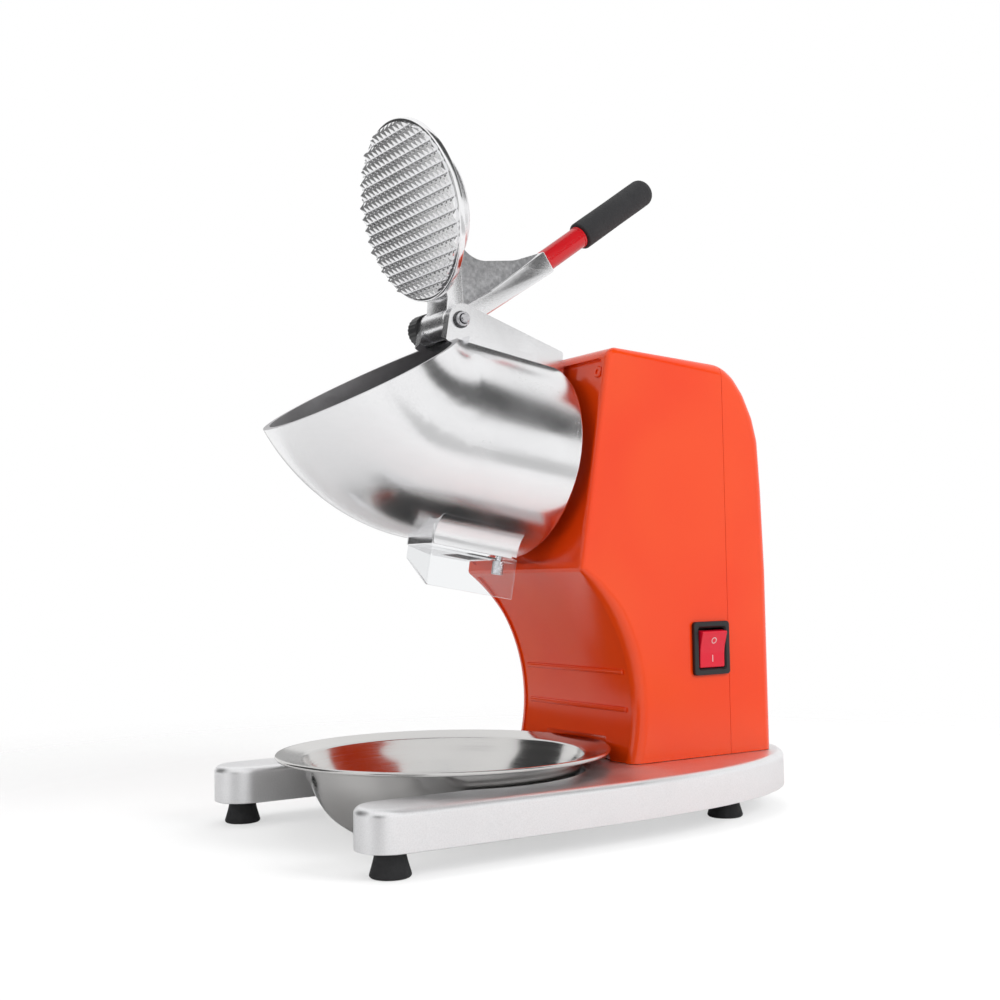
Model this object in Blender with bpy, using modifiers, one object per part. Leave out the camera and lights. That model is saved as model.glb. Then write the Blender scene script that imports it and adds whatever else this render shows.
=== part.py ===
"""Electric ice crusher: cast base, moulded motor housing, tilted barrel and toothed press lever.

Metres, +Z up, the user stands at -Y. Sizes are written from the bench frame: X is measured from
the middle, Y from the line through the front feet and Z from the table. The empty "origin" then
brings the middle of the footprint to Y = 0. Whatever belongs to the barrel is drawn in the frame
of the empty "barrel_axis": its Y axis runs down the barrel towards the motor, and its origin is
the point of the barrel's axis that lies under the lever's pivot.
"""
import math

import bmesh
import bpy
from mathutils import Matrix, Vector

# Clearances
GAP = 0.0003            # between pieces that touch
RUN = 0.0005            # round a turning piece
PRESS_GAP = 0.0030      # press disc to barrel bore

# Base casting and feet
BASE_HALF = 0.1148
BASE_REAR = 0.3240
BASE_WIDEST_Y = 0.1100
BASE_POWER = 2.6
BASE_UNDER = 0.0136
BASE_THICK = 0.0220
BASE_WALL = 0.0050
BASE_SKIN = 0.0060
BASE_TOP_ROUND = 0.0040
ARM_INNER = 0.0778
ARM_SETBACK = 0.0018
FOOT_FRONT_OUT = 0.0016
FOOT_REAR_IN, FOOT_REAR_Y = 0.0413, 0.2450
FOOT_TOP_R, FOOT_BOTTOM_R = 0.0085, 0.0108
FOOT_BOSS_R = 0.0115
FOOT_SCREW_R, FOOT_HEAD_R = 0.0020, 0.0042
FOOT_RECESS = 0.0070

# Bowl
BOWL_Y = 0.0886
BOWL_RIM_R = 0.1000
BOWL_HEIGHT = 0.0470
BOWL_MOUTH_R = 0.0850
BOWL_FLOOR_R = 0.0460
BOWL_SHEET = 0.0010
BOWL_RIM_DROP = 0.0035
BOWL_CUT_GAP = 0.0025
RIM_RELIEF = 0.0025

# Barrel, mouth and hinge lug
TILT = math.radians(10.0)
PIVOT_Y, PIVOT_Z = 0.0940, 0.3035
BEND_R = 0.0710
BARREL_R = 0.0620
BARREL_WALL = 0.0040
BARREL_REAR = 0.0705
BARREL_ROUND = 0.0020
BARREL_BACK = 0.0060
NECK_R = 0.0400
MOUTH_SLOPE = math.radians(37.5)
LIP_ANGLE = math.radians(48.7)
LUG_OUTER, LUG_SLOT = 0.0190, 0.0130
LUG_FRONT, LUG_TOP, LUG_REAR_TOP = -0.0082, 0.0830, 0.0700
LUG_ROUND = 0.0100
LUG_LEDGE_X, LUG_LEDGE_TOP = 0.0235, 0.0615
SLOT_REAR = 0.0130
WEB_DROP = 0.0060
PIVOT_BOLT_R, PIVOT_NUT_R, PIVOT_NUT_LEN, PIVOT_END = 0.0028, 0.0052, 0.0036, 0.0022
PIVOT_CAP_R, PIVOT_CAP_LEN = 0.0100, 0.0095

# Spout under the barrel, clear guard and its thumb screw
SPOUT_HALF = 0.0300
SPOUT_FRONT, SPOUT_REAR = -0.0045, 0.0545
SPOUT_LOW = 0.0660
SPOUT_WALL = 0.0045
OUTLET_FRONT, OUTLET_HALF = 0.0300, 0.0180
GUARD_SHEET = 0.0020
GUARD_DROP = 0.0238
GUARD_RETURN = 0.0290
GUARD_RETURN_DROP = 0.0080
GUARD_FLANGE = 0.0105
THUMB_X, THUMB_S = 0.0240, 0.0455
THUMB_HEAD_R, THUMB_HEAD_LEN, THUMB_STEM_R = 0.0036, 0.0078, 0.0020

# Blade disc and drive
DISC_FRONT = 0.0230
DISC_THICK = 0.0040
DISC_GAP = 0.0015
SHAFT_R = 0.0060
HUB_R, HUB_LEN = 0.0140, 0.0100
BLADE_INNER, BLADE_RIM = 0.0130, 0.0035
BLADE_WIDE, BLADE_THICK = 0.0150, 0.0025
SLOT_WIDE = 0.0080
BLADE_SCREW_R, BLADE_HEAD_R, BLADE_HEAD_LEN = 0.0015, 0.0032, 0.0018
BEARING_R, BEARING_LEN = 0.0130, 0.0060
MOTOR_R, MOTOR_LEN, MOTOR_WALL = 0.0420, 0.0900, 0.0030
PLATE_THICK, PLATE_HALF = 0.0040, 0.0480
STATOR_R, ARMATURE_R, CORE_LEN = 0.0270, 0.0260, 0.0500
FAN_R, FAN_LEN, FAN_BLADES = 0.0360, 0.0100, 8
FIXING_R, FIXING_CIRCLE = 0.0020, 0.0330

# Press lever
OPEN_ANGLE = math.radians(155.0)
PRESS_FACE = 0.0060
PRESS_PLATE = 0.0040
TOOTH_HEIGHT, TOOTH_TIP = 0.0032, 0.0009
TOOTH_ROWS, TOOTH_COLUMNS = 13, 14
PRESS_RIM = 0.0032
CUP_R, CUP_BACK, CUP_WALL = 0.0380, -0.0140, 0.0040
NECK_SIDE_GAP, RIB_HALF_X, WEB_HALF_X = 0.0005, 0.0090, 0.0035
BOSS_R = 0.0088
ARM_START = Vector((-0.0824, -0.0255))
ARM_DIR = Vector((-0.940, -0.340)).normalized()
ARM_HALF = 0.0072
TANG_R = 0.0045
SLEEVE_LEN, SLEEVE_R = 0.0370, 0.0074
GRIP_LEN, GRIP_R = 0.0700, 0.0092
STOP_LEN = 0.0060
PRESS_SCREW_R, PRESS_HEAD_R, PRESS_HEAD_LEN = 0.0030, 0.0055, 0.0036

# Housing
HOUSING_HALF = 0.0647
HOUSING_TOP = 0.2870
HOUSING_REAR = 0.2965
HOUSING_TOP_FALL = 0.0035
HOUSING_WALL = 0.0030
HOUSING_EDGE, FRONT_EDGE, EDGE_TAPER = 0.0080, 0.0030, 0.0300
REAR_BEND = ((0.0, 0.1370), (0.0017, 0.0850), (0.0036, 0.0530), (0.0078, 0.0375), (0.0154, 0.0223),
             (0.0239, 0.0118), (0.0344, 0.0048))
REAR_ROUND = 0.0240
TOP_ROUND = 0.0090
SEAM_Y = 0.2595
FRONT_GAP = 0.0070
CURVE_Y, CURVE_Z, CURVE_R = 0.0811, 0.0690, 0.1054
CHIN_ROUND = 0.0035
RECESS_HALF, RECESS_DEPTH = 0.0610, 0.0030
RECESS_LOW, RECESS_HIGH, RECESS_ROUND = -0.0640, 0.0610, 0.0060
LUG_GAP = 0.0010
RIB_Z, RIB_R, RIB_HALF = (0.0670, 0.0900), 0.0017, 0.0520
VENT_COUNT, VENT_LOW, VENT_PITCH, VENT_HALF, VENT_HIGH = 7, 0.1500, 0.0100, 0.0300, 0.0040
HOUSING_SCREW_IN, HOUSING_SCREW_FRONT, HOUSING_SCREW_REAR = 0.0167, 0.2070, 0.2800

# Rocker switch and cable gland
SWITCH_Y, SWITCH_Z = 0.2440, 0.1025
BEZEL_WIDE, BEZEL_HIGH, BEZEL_PROUD = 0.0290, 0.0330, 0.0022
BODY_WIDE, BODY_HIGH, BODY_DEEP = 0.0240, 0.0280, 0.0200
ROCKER_WIDE, ROCKER_HIGH, ROCKER_ROOM = 0.0200, 0.0228, 0.0252
ROCKER_CLEAR, ROCKER_POCKET = 0.0005, 0.0100
ROCKER_PROUD, ROCKER_DISH = 0.0040, 0.0016
ROCKER_SWING = math.radians(9.0)
GLAND_Z, GLAND_R, GLAND_BORE = 0.0600, 0.0060, 0.0036

# Derived places
BASE_TOP = BASE_UNDER + BASE_THICK
HOUSING_BOTTOM = BASE_TOP + GAP
BORE_R = BARREL_R - BARREL_WALL
PRESS_R = BORE_R - PRESS_GAP
UNDER_R = BEND_R + BARREL_R
AXIS_Y = PIVOT_Y - BEND_R * math.sin(TILT)
AXIS_Z = PIVOT_Z - BEND_R * math.cos(TILT)
LIP_S = -UNDER_R * math.sin(LIP_ANGLE)
LIP_H = BEND_R - UNDER_R * math.cos(LIP_ANGLE)
LIP_Y = AXIS_Y + LIP_S * math.cos(TILT) + LIP_H * math.sin(TILT)
Y_SHIFT = -(LIP_Y + BASE_REAR) / 2
FRONT_S = BARREL_REAR + FRONT_GAP
RECESS_S = FRONT_S + RECESS_DEPTH
CHAMBER_REAR = BARREL_REAR - BARREL_BACK
INNER_S = RECESS_S + HOUSING_WALL
BOWL_CUT_R = BOWL_MOUTH_R - 0.0035 + BOWL_CUT_GAP
ARM_TIP_HALF = (BASE_HALF - ARM_SETBACK - ARM_INNER) / 2
ARM_X = ARM_INNER + ARM_TIP_HALF
FOOT_FRONT_X, FOOT_REAR_X = ARM_X + FOOT_FRONT_OUT, BASE_HALF - FOOT_REAR_IN
DISC_R = BORE_R - DISC_GAP
BLADE_LEN = DISC_R - BLADE_RIM - BLADE_INNER
BLADE_R = BLADE_INNER + BLADE_LEN / 2
ARM_ROUND = Vector((ARM_DIR.y, -ARM_DIR.x)) * ARM_HALF
MOTOR_S = INNER_S + GAP + PLATE_THICK + GAP
MOTOR_END = MOTOR_S + MOTOR_LEN + GAP + BEARING_LEN
FAN_S = MOTOR_END + 0.0030
SHAFT_END = FAN_S + FAN_LEN + 0.0020
HOUSING_SCREW_X = HOUSING_HALF - HOUSING_SCREW_IN
FIXINGS = [(x, y) for x in (-HOUSING_SCREW_X, HOUSING_SCREW_X) for y in (HOUSING_SCREW_FRONT, HOUSING_SCREW_REAR)]
ROCKER_X = HOUSING_HALF - 0.0020

# Orientations: SIDE draws an outline in YZ and gives it width along X, ALONG lays Z down the barrel
SIDE = (math.pi / 2, 0, math.pi / 2)
ALONG = (-math.pi / 2, 0, 0)
ACROSS = (0, math.pi / 2, 0)
FLAT = (0, 0, 0)


def clear_scene():
    """Remove what an opened file holds."""
    for obj in list(bpy.data.objects):
        bpy.data.objects.remove(obj, do_unlink=True)


def collection(name):
    """A collection linked to the scene."""
    group = bpy.data.collections.new(name)
    bpy.context.scene.collection.children.link(group)
    return group


def finish(name, rgb, rough, metal=0.0, alpha=1.0):
    """A Principled material."""
    mat = bpy.data.materials.new(name)
    mat.use_nodes = True
    shader = mat.node_tree.nodes["Principled BSDF"]
    shader.inputs["Base Color"].default_value = (*rgb, 1.0)
    shader.inputs["Roughness"].default_value = rough
    shader.inputs["Metallic"].default_value = metal
    shader.inputs["Alpha"].default_value = alpha
    mat.diffuse_color = (*rgb, alpha)
    return mat


def empty(name, parent, loc=(0, 0, 0), rot=(0, 0, 0)):
    """A frame that pieces are placed in."""
    obj = bpy.data.objects.new(name, None)
    PARTS.objects.link(obj)
    obj.parent, obj.location, obj.rotation_euler = parent, loc, rot
    return obj


def add(name, mesh, mat, parent, loc=(0, 0, 0), rot=(0, 0, 0)):
    """Put a mesh in the scene: a piece when it has a material, else a cutter."""
    obj = bpy.data.objects.new(name, mesh)
    if mat is None:
        CUTTERS.objects.link(obj)
        obj.hide_render, obj.display_type = True, "WIRE"
    else:
        PARTS.objects.link(obj)
        mesh.materials.clear()
        mesh.materials.append(mat)
        mesh.shade_smooth()
        mesh.set_sharp_from_angle(angle=math.radians(35))
    obj.parent, obj.location, obj.rotation_euler = parent, loc, rot
    return obj


def copy_of(source, name, loc, rot=None):
    """Another piece with the same mesh."""
    obj = bpy.data.objects.new(name, source.data)
    PARTS.objects.link(obj)
    obj.parent, obj.location = source.parent, loc
    obj.rotation_euler = source.rotation_euler if rot is None else rot
    return obj


def arc(cx, cy, radius, start, end, count):
    """Points of an arc, both ends included, angles in degrees."""
    turns = [math.radians(start + (end - start) * i / count) for i in range(count + 1)]
    return [(cx + radius * math.cos(t), cy + radius * math.sin(t)) for t in turns]


def rounded(points, radii, count=5):
    """A closed outline whose corners are rounded by the radii given for them."""
    out = []
    total = len(points)
    for i, (point, radius) in enumerate(zip(points, radii)):
        corner = Vector(point)
        if radius <= 0:
            out.append(tuple(corner))
            continue
        before = (Vector(points[i - 1]) - corner).normalized()
        after = (Vector(points[(i + 1) % total]) - corner).normalized()
        half = before.angle(after) / 2
        centre = corner + (before + after).normalized() * radius / math.sin(half)
        first = corner + before * radius / math.tan(half) - centre
        last = corner + after * radius / math.tan(half) - centre
        for k in range(count + 1):
            ray = first.lerp(last, k / count)
            out.append(tuple(centre + ray.normalized() * radius))
    return out


def inset(points, depth):
    """A closed outline moved inwards, by one depth or one for each point; it runs anticlockwise."""
    out = []
    total = len(points)
    depths = depth if isinstance(depth, list) else [depth] * total
    for i, point in enumerate(points):
        before = (Vector(point) - Vector(points[i - 1])).normalized()
        after = (Vector(points[(i + 1) % total]) - Vector(point)).normalized()
        mean = (before + after).normalized()
        normal = Vector((-mean.y, mean.x))
        scale = max(0.4, abs(normal.dot(Vector((-before.y, before.x)))))
        out.append(tuple(Vector(point) + normal * depths[i] / scale))
    return out


def solid(data, modifier=None, flatten=False):
    """The welded mesh that a curve, or a profile with a Screw modifier, makes."""
    temp = bpy.data.objects.new("temp", data)
    bpy.context.scene.collection.objects.link(temp)
    if modifier:
        modifier(temp)
    deps = bpy.context.evaluated_depsgraph_get()
    mesh = bpy.data.meshes.new_from_object(temp.evaluated_get(deps))
    bpy.data.objects.remove(temp)
    bm = bmesh.new()
    bm.from_mesh(mesh)
    bmesh.ops.remove_doubles(bm, verts=bm.verts, dist=1e-6)
    if flatten:
        bmesh.ops.dissolve_limit(bm, angle_limit=0.0005, verts=bm.verts, edges=bm.edges)
    bmesh.ops.recalc_face_normals(bm, faces=bm.faces)
    bm.to_mesh(mesh)
    bm.free()
    return mesh


def prism(name, outlines, low, high, mat, parent, loc=(0, 0, 0), rot=SIDE):
    """An outline, and any holes in it, given width from low to high along its own Z."""
    curve = bpy.data.curves.new(name, "CURVE")
    curve.dimensions, curve.fill_mode = "2D", "BOTH"
    curve.extrude = (high - low) / 2
    for points in outlines:
        spline = curve.splines.new("POLY")
        spline.points.add(len(points) - 1)
        for slot, (x, y) in zip(spline.points, points):
            slot.co = (x, y, 0, 1)
        spline.use_cyclic_u = True
    mesh = solid(curve, flatten=len(outlines) == 1)
    mesh.transform(Matrix.Translation((0, 0, (high + low) / 2)))
    return add(name, mesh, mat, parent, loc, rot)


def turned(name, profile, mat, parent, loc=(0, 0, 0), rot=ALONG, steps=40):
    """A profile of radius and height, from the top down its outer side, turned about Z."""
    bm = bmesh.new()
    verts = [bm.verts.new((r, 0, z)) for r, z in profile]
    pairs = list(zip(verts, verts[1:]))
    if profile[0][0] > 0:
        pairs.append((verts[-1], verts[0]))
    for a, b in pairs:
        bm.edges.new((a, b))
    line = bpy.data.meshes.new(name)
    bm.to_mesh(line)
    bm.free()

    def screw(obj):
        turn = obj.modifiers.new("turn", "SCREW")
        turn.steps = turn.render_steps = steps
        turn.use_merge_vertices, turn.merge_threshold = True, 1e-6

    return add(name, solid(line, screw), mat, parent, loc, rot)


def rod(name, radius, low, high, mat, parent, loc=(0, 0, 0), rot=ALONG, steps=24, edge=0.0):
    """A round bar from low to high along its own Z, with an optional chamfer."""
    profile = [(0, high), (radius - edge, high), (radius, high - edge), (radius, low + edge),
               (radius - edge, low), (0, low)]
    if edge == 0:
        profile = [(0, high), (radius, high), (radius, low), (0, low)]
    return turned(name, profile, mat, parent, loc, rot, steps)


def ring(name, inner, outer, low, high, mat, parent, loc=(0, 0, 0), rot=ALONG, steps=32):
    """A plain bush."""
    profile = [(inner, high), (outer, high), (outer, low), (inner, low)]
    return turned(name, profile, mat, parent, loc, rot, steps)


def box(name, low, high, mat, parent, loc=(0, 0, 0), rot=FLAT):
    """A box between two corners."""
    mesh = bpy.data.meshes.new(name)
    bm = bmesh.new()
    bmesh.ops.create_cube(bm, size=1)
    size = Vector(high) - Vector(low)
    bmesh.ops.scale(bm, vec=size, verts=bm.verts)
    bmesh.ops.translate(bm, vec=(Vector(high) + Vector(low)) / 2, verts=bm.verts)
    bm.to_mesh(mesh)
    bm.free()
    return add(name, mesh, mat, parent, loc, rot)


def tube(name, path, radius, mat, parent, resolution=14):
    """A round bar along a path of points, each with its share of the radius."""
    curve = bpy.data.curves.new(name, "CURVE")
    curve.dimensions, curve.bevel_depth = "3D", radius
    curve.bevel_resolution, curve.use_fill_caps = resolution, True
    spline = curve.splines.new("POLY")
    spline.points.add(len(path) - 1)
    for slot, (x, y, z, share) in zip(spline.points, path):
        slot.co, slot.radius = (x, y, z, 1), share
    return add(name, solid(curve), mat, parent)


def boolean(target, cutter, operation):
    """One Boolean step with the exact solver."""
    mod = target.modifiers.new(cutter.name, "BOOLEAN")
    mod.operation, mod.object, mod.solver = operation, cutter, "EXACT"


def cut(target, *cutters):
    """Take the cutters away from the target."""
    for cutter in cutters:
        boolean(target, cutter, "DIFFERENCE")


def join(target, *extras):
    """Fuse the extras with the target."""
    for extra in extras:
        boolean(target, extra, "UNION")


def bevel(obj, width, segments=2, angle=50):
    """Round the sharp edges."""
    mod = obj.modifiers.new("bevel", "BEVEL")
    mod.width, mod.segments, mod.limit_method = width, segments, "ANGLE"
    mod.angle_limit = math.radians(angle)


def rounded_prism(name, outline, half, width_at, mat, steps=4):
    """An outline given width about its plane, with side edges rounded by widths that may vary."""
    widths = [max(0.0, width_at(*point)) for point in outline]
    rings = []
    for i in range(steps + 1):
        turn = math.pi / 2 * i / steps
        ring = inset(outline, [width * (1 - math.cos(turn)) for width in widths])
        rings.append([(x, y, half - width * (1 - math.sin(turn))) for (x, y), width in zip(ring, widths)])
    rings = [[(x, y, -z) for x, y, z in ring] for ring in reversed(rings)] + rings
    bm = bmesh.new()
    loops = [[bm.verts.new(point) for point in ring] for ring in rings]
    for low, high in zip(loops, loops[1:]):
        for i in range(len(low)):
            bm.faces.new((low[i - 1], low[i], high[i], high[i - 1]))
    bm.faces.new(loops[0][::-1])
    bm.faces.new(loops[-1])
    bmesh.ops.remove_doubles(bm, verts=bm.verts, dist=1e-6)
    bmesh.ops.recalc_face_normals(bm, faces=bm.faces)
    mesh = bpy.data.meshes.new(name)
    bm.to_mesh(mesh)
    bm.free()
    return add(name, mesh, mat, ORIGIN, (0, 0, 0), SIDE)


def base_outline(shrink=0.0):
    """The plan of the base, or the same moved inwards: two arms, the bowl's cut and a full rear."""
    tip = ARM_TIP_HALF - shrink
    cut_r = BOWL_CUT_R + shrink
    inner = ARM_X - tip
    right = [(ARM_X + x, y) for x, y in arc(0, 0, tip, 180, 360, 10)]
    side, back = BASE_HALF - shrink, BASE_REAR - BASE_WIDEST_Y - shrink
    for i in range(1, 4):
        share = i / 4
        right.append((ARM_X + tip + (side - ARM_X - tip) * share ** 0.6, BASE_WIDEST_Y * share))
    for i in range(17):
        turn = math.pi / 2 * i / 16
        right.append((side * math.cos(turn) ** (2 / BASE_POWER),
                      BASE_WIDEST_Y + back * math.sin(turn) ** (2 / BASE_POWER)))
    right[-1] = (0, BASE_WIDEST_Y + back)
    mouth = math.degrees(math.acos(min(1.0, inner / cut_r)))
    notch = [(x, BOWL_Y + y) for x, y in arc(0, 0, cut_r, 180 + mouth, 0 - mouth, 26)]
    left = [(-x, y) for x, y in reversed(right[:-1])]
    return right + left + notch


def build_base():
    """The cast base with its underside pocket, four tapered feet and their screws."""
    base = prism("base_plate", [base_outline()], BASE_UNDER, BASE_TOP, ALUMINIUM, ORIGIN, rot=FLAT)
    round_rim(base.data, BASE_TOP, BASE_TOP_ROUND, 3)
    pocket = prism("base_pocket", [base_outline(BASE_WALL)], BASE_UNDER - 0.01, BASE_TOP - BASE_SKIN,
                   None, ORIGIN, rot=FLAT)
    feet = {"front_left": (-FOOT_FRONT_X, 0), "front_right": (FOOT_FRONT_X, 0),
            "rear_left": (-FOOT_REAR_X, FOOT_REAR_Y), "rear_right": (FOOT_REAR_X, FOOT_REAR_Y)}
    posts = [(x, y, FOOT_BOSS_R) for x, y in feet.values()] + [(x, y, 0.0070) for x, y in FIXINGS]
    for i, (x, y, radius) in enumerate(posts):
        cut(pocket, rod(f"base_post_{i}", radius, BASE_UNDER - 0.02, BASE_TOP + 0.01, None, ORIGIN,
                        (x, y, 0), FLAT, 20))
    cut(base, pocket)
    foot = screw = None
    for place, (x, y) in feet.items():
        cut(base, rod(f"foot_hole_{place}", FOOT_SCREW_R + GAP, 0, BASE_TOP - BASE_SKIN, None, ORIGIN,
                      (x, y, 0), FLAT, 16))
        if foot is None:
            bore, head = FOOT_SCREW_R + GAP, FOOT_HEAD_R + GAP
            foot = turned(f"foot_{place}", [
                (bore, BASE_UNDER - GAP), (FOOT_TOP_R, BASE_UNDER - GAP), (FOOT_BOTTOM_R, 0.0012),
                (FOOT_BOTTOM_R - 0.0012, 0), (head, 0), (head, FOOT_RECESS), (bore, FOOT_RECESS)],
                RUBBER, ORIGIN, (x, y, 0), FLAT, 20)
            screw = turned(f"foot_screw_{place}", [
                (0, BASE_TOP - BASE_SKIN - 2 * GAP), (FOOT_SCREW_R, BASE_TOP - BASE_SKIN - 2 * GAP),
                (FOOT_SCREW_R, FOOT_RECESS - GAP), (FOOT_HEAD_R, FOOT_RECESS - GAP),
                (FOOT_HEAD_R, FOOT_RECESS - 0.0022), (0, FOOT_RECESS - 0.0030)],
                STEEL, ORIGIN, (x, y, 0), FLAT, 10)
        else:
            copy_of(foot, f"foot_{place}", (x, y, 0))
            copy_of(screw, f"foot_screw_{place}", (x, y, 0))
    for i, (x, y) in enumerate(FIXINGS, 1):
        cut(base, turned(f"fixing_hole_{i}", [
            (0, BASE_TOP + 0.01), (FIXING_R + GAP, BASE_TOP + 0.01), (FIXING_R + GAP, BASE_UNDER + 0.006),
            (0.0046, BASE_UNDER + 0.006), (0.0046, BASE_UNDER - 0.01), (0, BASE_UNDER - 0.01)],
            None, ORIGIN, (x, y, 0), FLAT, 10))
    return base


def round_rim(mesh, height, width, segments):
    """Round the rim that lies at one height."""
    bm = bmesh.new()
    bm.from_mesh(mesh)
    rim = [e for e in bm.edges if all(abs(v.co.z - height) < 1e-6 for v in e.verts)]
    bmesh.ops.bevel(bm, geom=rim, offset=width, segments=segments, profile=0.5, affect="EDGES")
    bm.to_mesh(mesh)
    bm.free()


def build_bowl():
    """The spun steel bowl, which stands on the table between the arms."""
    rim_z, lip_z = BOWL_HEIGHT - 0.0012, BOWL_HEIGHT - BOWL_RIM_DROP
    wall = [(0.0, 0.0), (0.35, 0.09), (0.62, 0.30), (0.85, 0.66), (0.97, 0.93), (1.0, 1.0)]
    inner_r, inner_z = BOWL_MOUTH_R - BOWL_SHEET, lip_z - BOWL_SHEET
    inner = [(BOWL_FLOOR_R + (inner_r - BOWL_FLOOR_R) * u, BOWL_SHEET + inner_z * v) for u, v in wall]
    outer = [(BOWL_FLOOR_R + (inner_r + BOWL_SHEET - BOWL_FLOOR_R) * u, inner_z * v) for u, v in wall]
    rim = [(BOWL_RIM_R - 0.0030, rim_z), (BOWL_RIM_R - 0.0012, BOWL_HEIGHT),
           (BOWL_RIM_R, rim_z - 0.0006), (BOWL_RIM_R - 0.0012, rim_z - 0.0022),
           (BOWL_RIM_R - 0.0030, rim_z - BOWL_SHEET)]
    profile = [(0, BOWL_SHEET)] + inner + rim + outer[::-1] + [(0, 0)]
    return turned("bowl", profile, STAINLESS, ORIGIN, (0, BOWL_Y, 0), FLAT, 48)


def barrel_path(shares):
    """The barrel's axis: straight from the motor, then round the lever's pivot."""
    path = [(0, s, 0, share) for s, share in shares]
    for i in range(13):
        turn = math.radians(78) * i / 12
        path.append((0, -BEND_R * math.sin(turn), BEND_R - BEND_R * math.cos(turn), 1.0))
    return path


def build_barrel():
    """The polished barrel with its scoop mouth, hinge lug, spout and rear neck."""
    shares = [(RECESS_S - GAP, NECK_R / BARREL_R), (BARREL_REAR + 0.0004, NECK_R / BARREL_R)]
    for i in range(6):
        turn = math.pi / 2 * i / 5
        shares.append((BARREL_REAR - BARREL_ROUND * (1 - math.cos(turn)),
                       1 - BARREL_ROUND * (1 - math.sin(turn)) / BARREL_R))
    barrel = tube("barrel", barrel_path(shares), BARREL_R, ALUMINIUM, AXIS)
    cut(barrel, box("mouth_plane", (-0.2, -0.3, 0), (0.2, 0.3, 0.3), None, AXIS,
                    (0, LIP_S, LIP_H), (MOUTH_SLOPE, 0, 0)))
    rear = FRONT_S - LUG_GAP
    lug_outline = rounded([(LUG_FRONT, BORE_R - 0.002), (rear, BORE_R - 0.002), (rear, LUG_REAR_TOP),
                           (LUG_FRONT, LUG_TOP)], [0, 0, 0.002, LUG_ROUND])
    join(barrel, prism("lug", [lug_outline], -LUG_OUTER, LUG_OUTER, None, AXIS))
    join(barrel, box("ledge", (-LUG_LEDGE_X, SLOT_REAR - 0.008, BORE_R - 0.004),
                     (LUG_LEDGE_X, rear - 0.0012, LUG_LEDGE_TOP), None, AXIS))
    join(barrel, box("spout", (-SPOUT_HALF, SPOUT_FRONT, -SPOUT_LOW),
                     (SPOUT_HALF, SPOUT_REAR, -BORE_R + 0.020), None, AXIS))
    cut(barrel, tube("bore", barrel_path([(CHAMBER_REAR, 1.0)]), BORE_R, None, AXIS))
    web_top, behind = LUG_REAR_TOP - WEB_DROP, rear + 0.01
    cut(barrel, prism("lug_slot", [[(-0.1, BORE_R - 0.012), (SLOT_REAR, BORE_R - 0.012), (SLOT_REAR, web_top + 0.002),
                                    (behind, web_top - 0.002), (behind, 0.2), (-0.1, 0.2)]],
                      -LUG_SLOT, LUG_SLOT, None, AXIS))
    cut(barrel, rod("pivot_hole", PIVOT_BOLT_R + GAP, -0.05, 0.05, None, AXIS, (0, 0, BEND_R), ACROSS, 24))
    low = -SPOUT_LOW - 0.01
    cut(barrel, box("outlet", (-OUTLET_HALF, OUTLET_FRONT, low),
                    (OUTLET_HALF, SPOUT_REAR - SPOUT_WALL, -BORE_R + 0.030), None, AXIS))
    cut(barrel, rod("thumb_hole", THUMB_STEM_R + GAP, low, -SPOUT_LOW + 0.009, None, AXIS,
                    (THUMB_X, THUMB_S, 0), FLAT, 16))
    cut(barrel, rod("bearing_seat", BEARING_R + GAP, CHAMBER_REAR - 0.01, CHAMBER_REAR + BEARING_LEN + GAP,
                    None, AXIS, steps=32))
    cut(barrel, rod("shaft_hole", SHAFT_R + RUN, CHAMBER_REAR, INNER_S, None, AXIS, steps=24))
    for i in range(4):
        x, h = fixing_place(i)
        cut(barrel, rod(f"neck_hole_{i}", FIXING_R + GAP, CHAMBER_REAR - 0.01, INNER_S, None, AXIS,
                        (x, 0, h), ALONG, 10))
    return barrel


def fixing_place(i):
    """Where screw i of the barrel's neck stands, across and up."""
    turn = math.radians(45 + 90 * i)
    return FIXING_CIRCLE * math.cos(turn), FIXING_CIRCLE * math.sin(turn)


def build_guard():
    """The folded clear sheet beside the outlet and the thumb screw that holds its flange."""
    top, side = -SPOUT_LOW - GAP, SPOUT_HALF
    low = top - GUARD_DROP
    flange = box("guard", (side - GUARD_FLANGE, SPOUT_FRONT, top - GUARD_SHEET), (side, SPOUT_REAR, top),
                 CLEAR, AXIS)
    panel = box("guard_panel", (side - GUARD_SHEET, SPOUT_FRONT, low), (side, SPOUT_REAR, top - 0.0002),
                None, AXIS)
    fold = prism("guard_return", [[(side - GUARD_RETURN, -top + 0.0002), (side - 0.0002, -top + 0.0002),
                                   (side - 0.0002, -low), (side - GUARD_SHEET, -low),
                                   (side - GUARD_RETURN, -top + GUARD_RETURN_DROP)]],
                 SPOUT_FRONT + 0.0001, SPOUT_FRONT + GUARD_SHEET, None, AXIS, rot=ALONG)
    join(flange, panel, fold)
    cut(flange, rod("guard_hole", THUMB_STEM_R + GAP, low, top + 0.01, None, AXIS,
                    (THUMB_X, THUMB_S, 0), FLAT, 16))
    under = top - GUARD_SHEET - GAP
    turned("thumb_screw", [(0, -SPOUT_LOW + 0.008), (THUMB_STEM_R, -SPOUT_LOW + 0.008), (THUMB_STEM_R, under),
                           (THUMB_HEAD_R, under), (THUMB_HEAD_R, under - THUMB_HEAD_LEN + 0.0008),
                           (THUMB_HEAD_R - 0.0008, under - THUMB_HEAD_LEN), (0, under - THUMB_HEAD_LEN)],
           STEEL, AXIS, (THUMB_X, THUMB_S, 0), FLAT, 20)
    return flange


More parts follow.
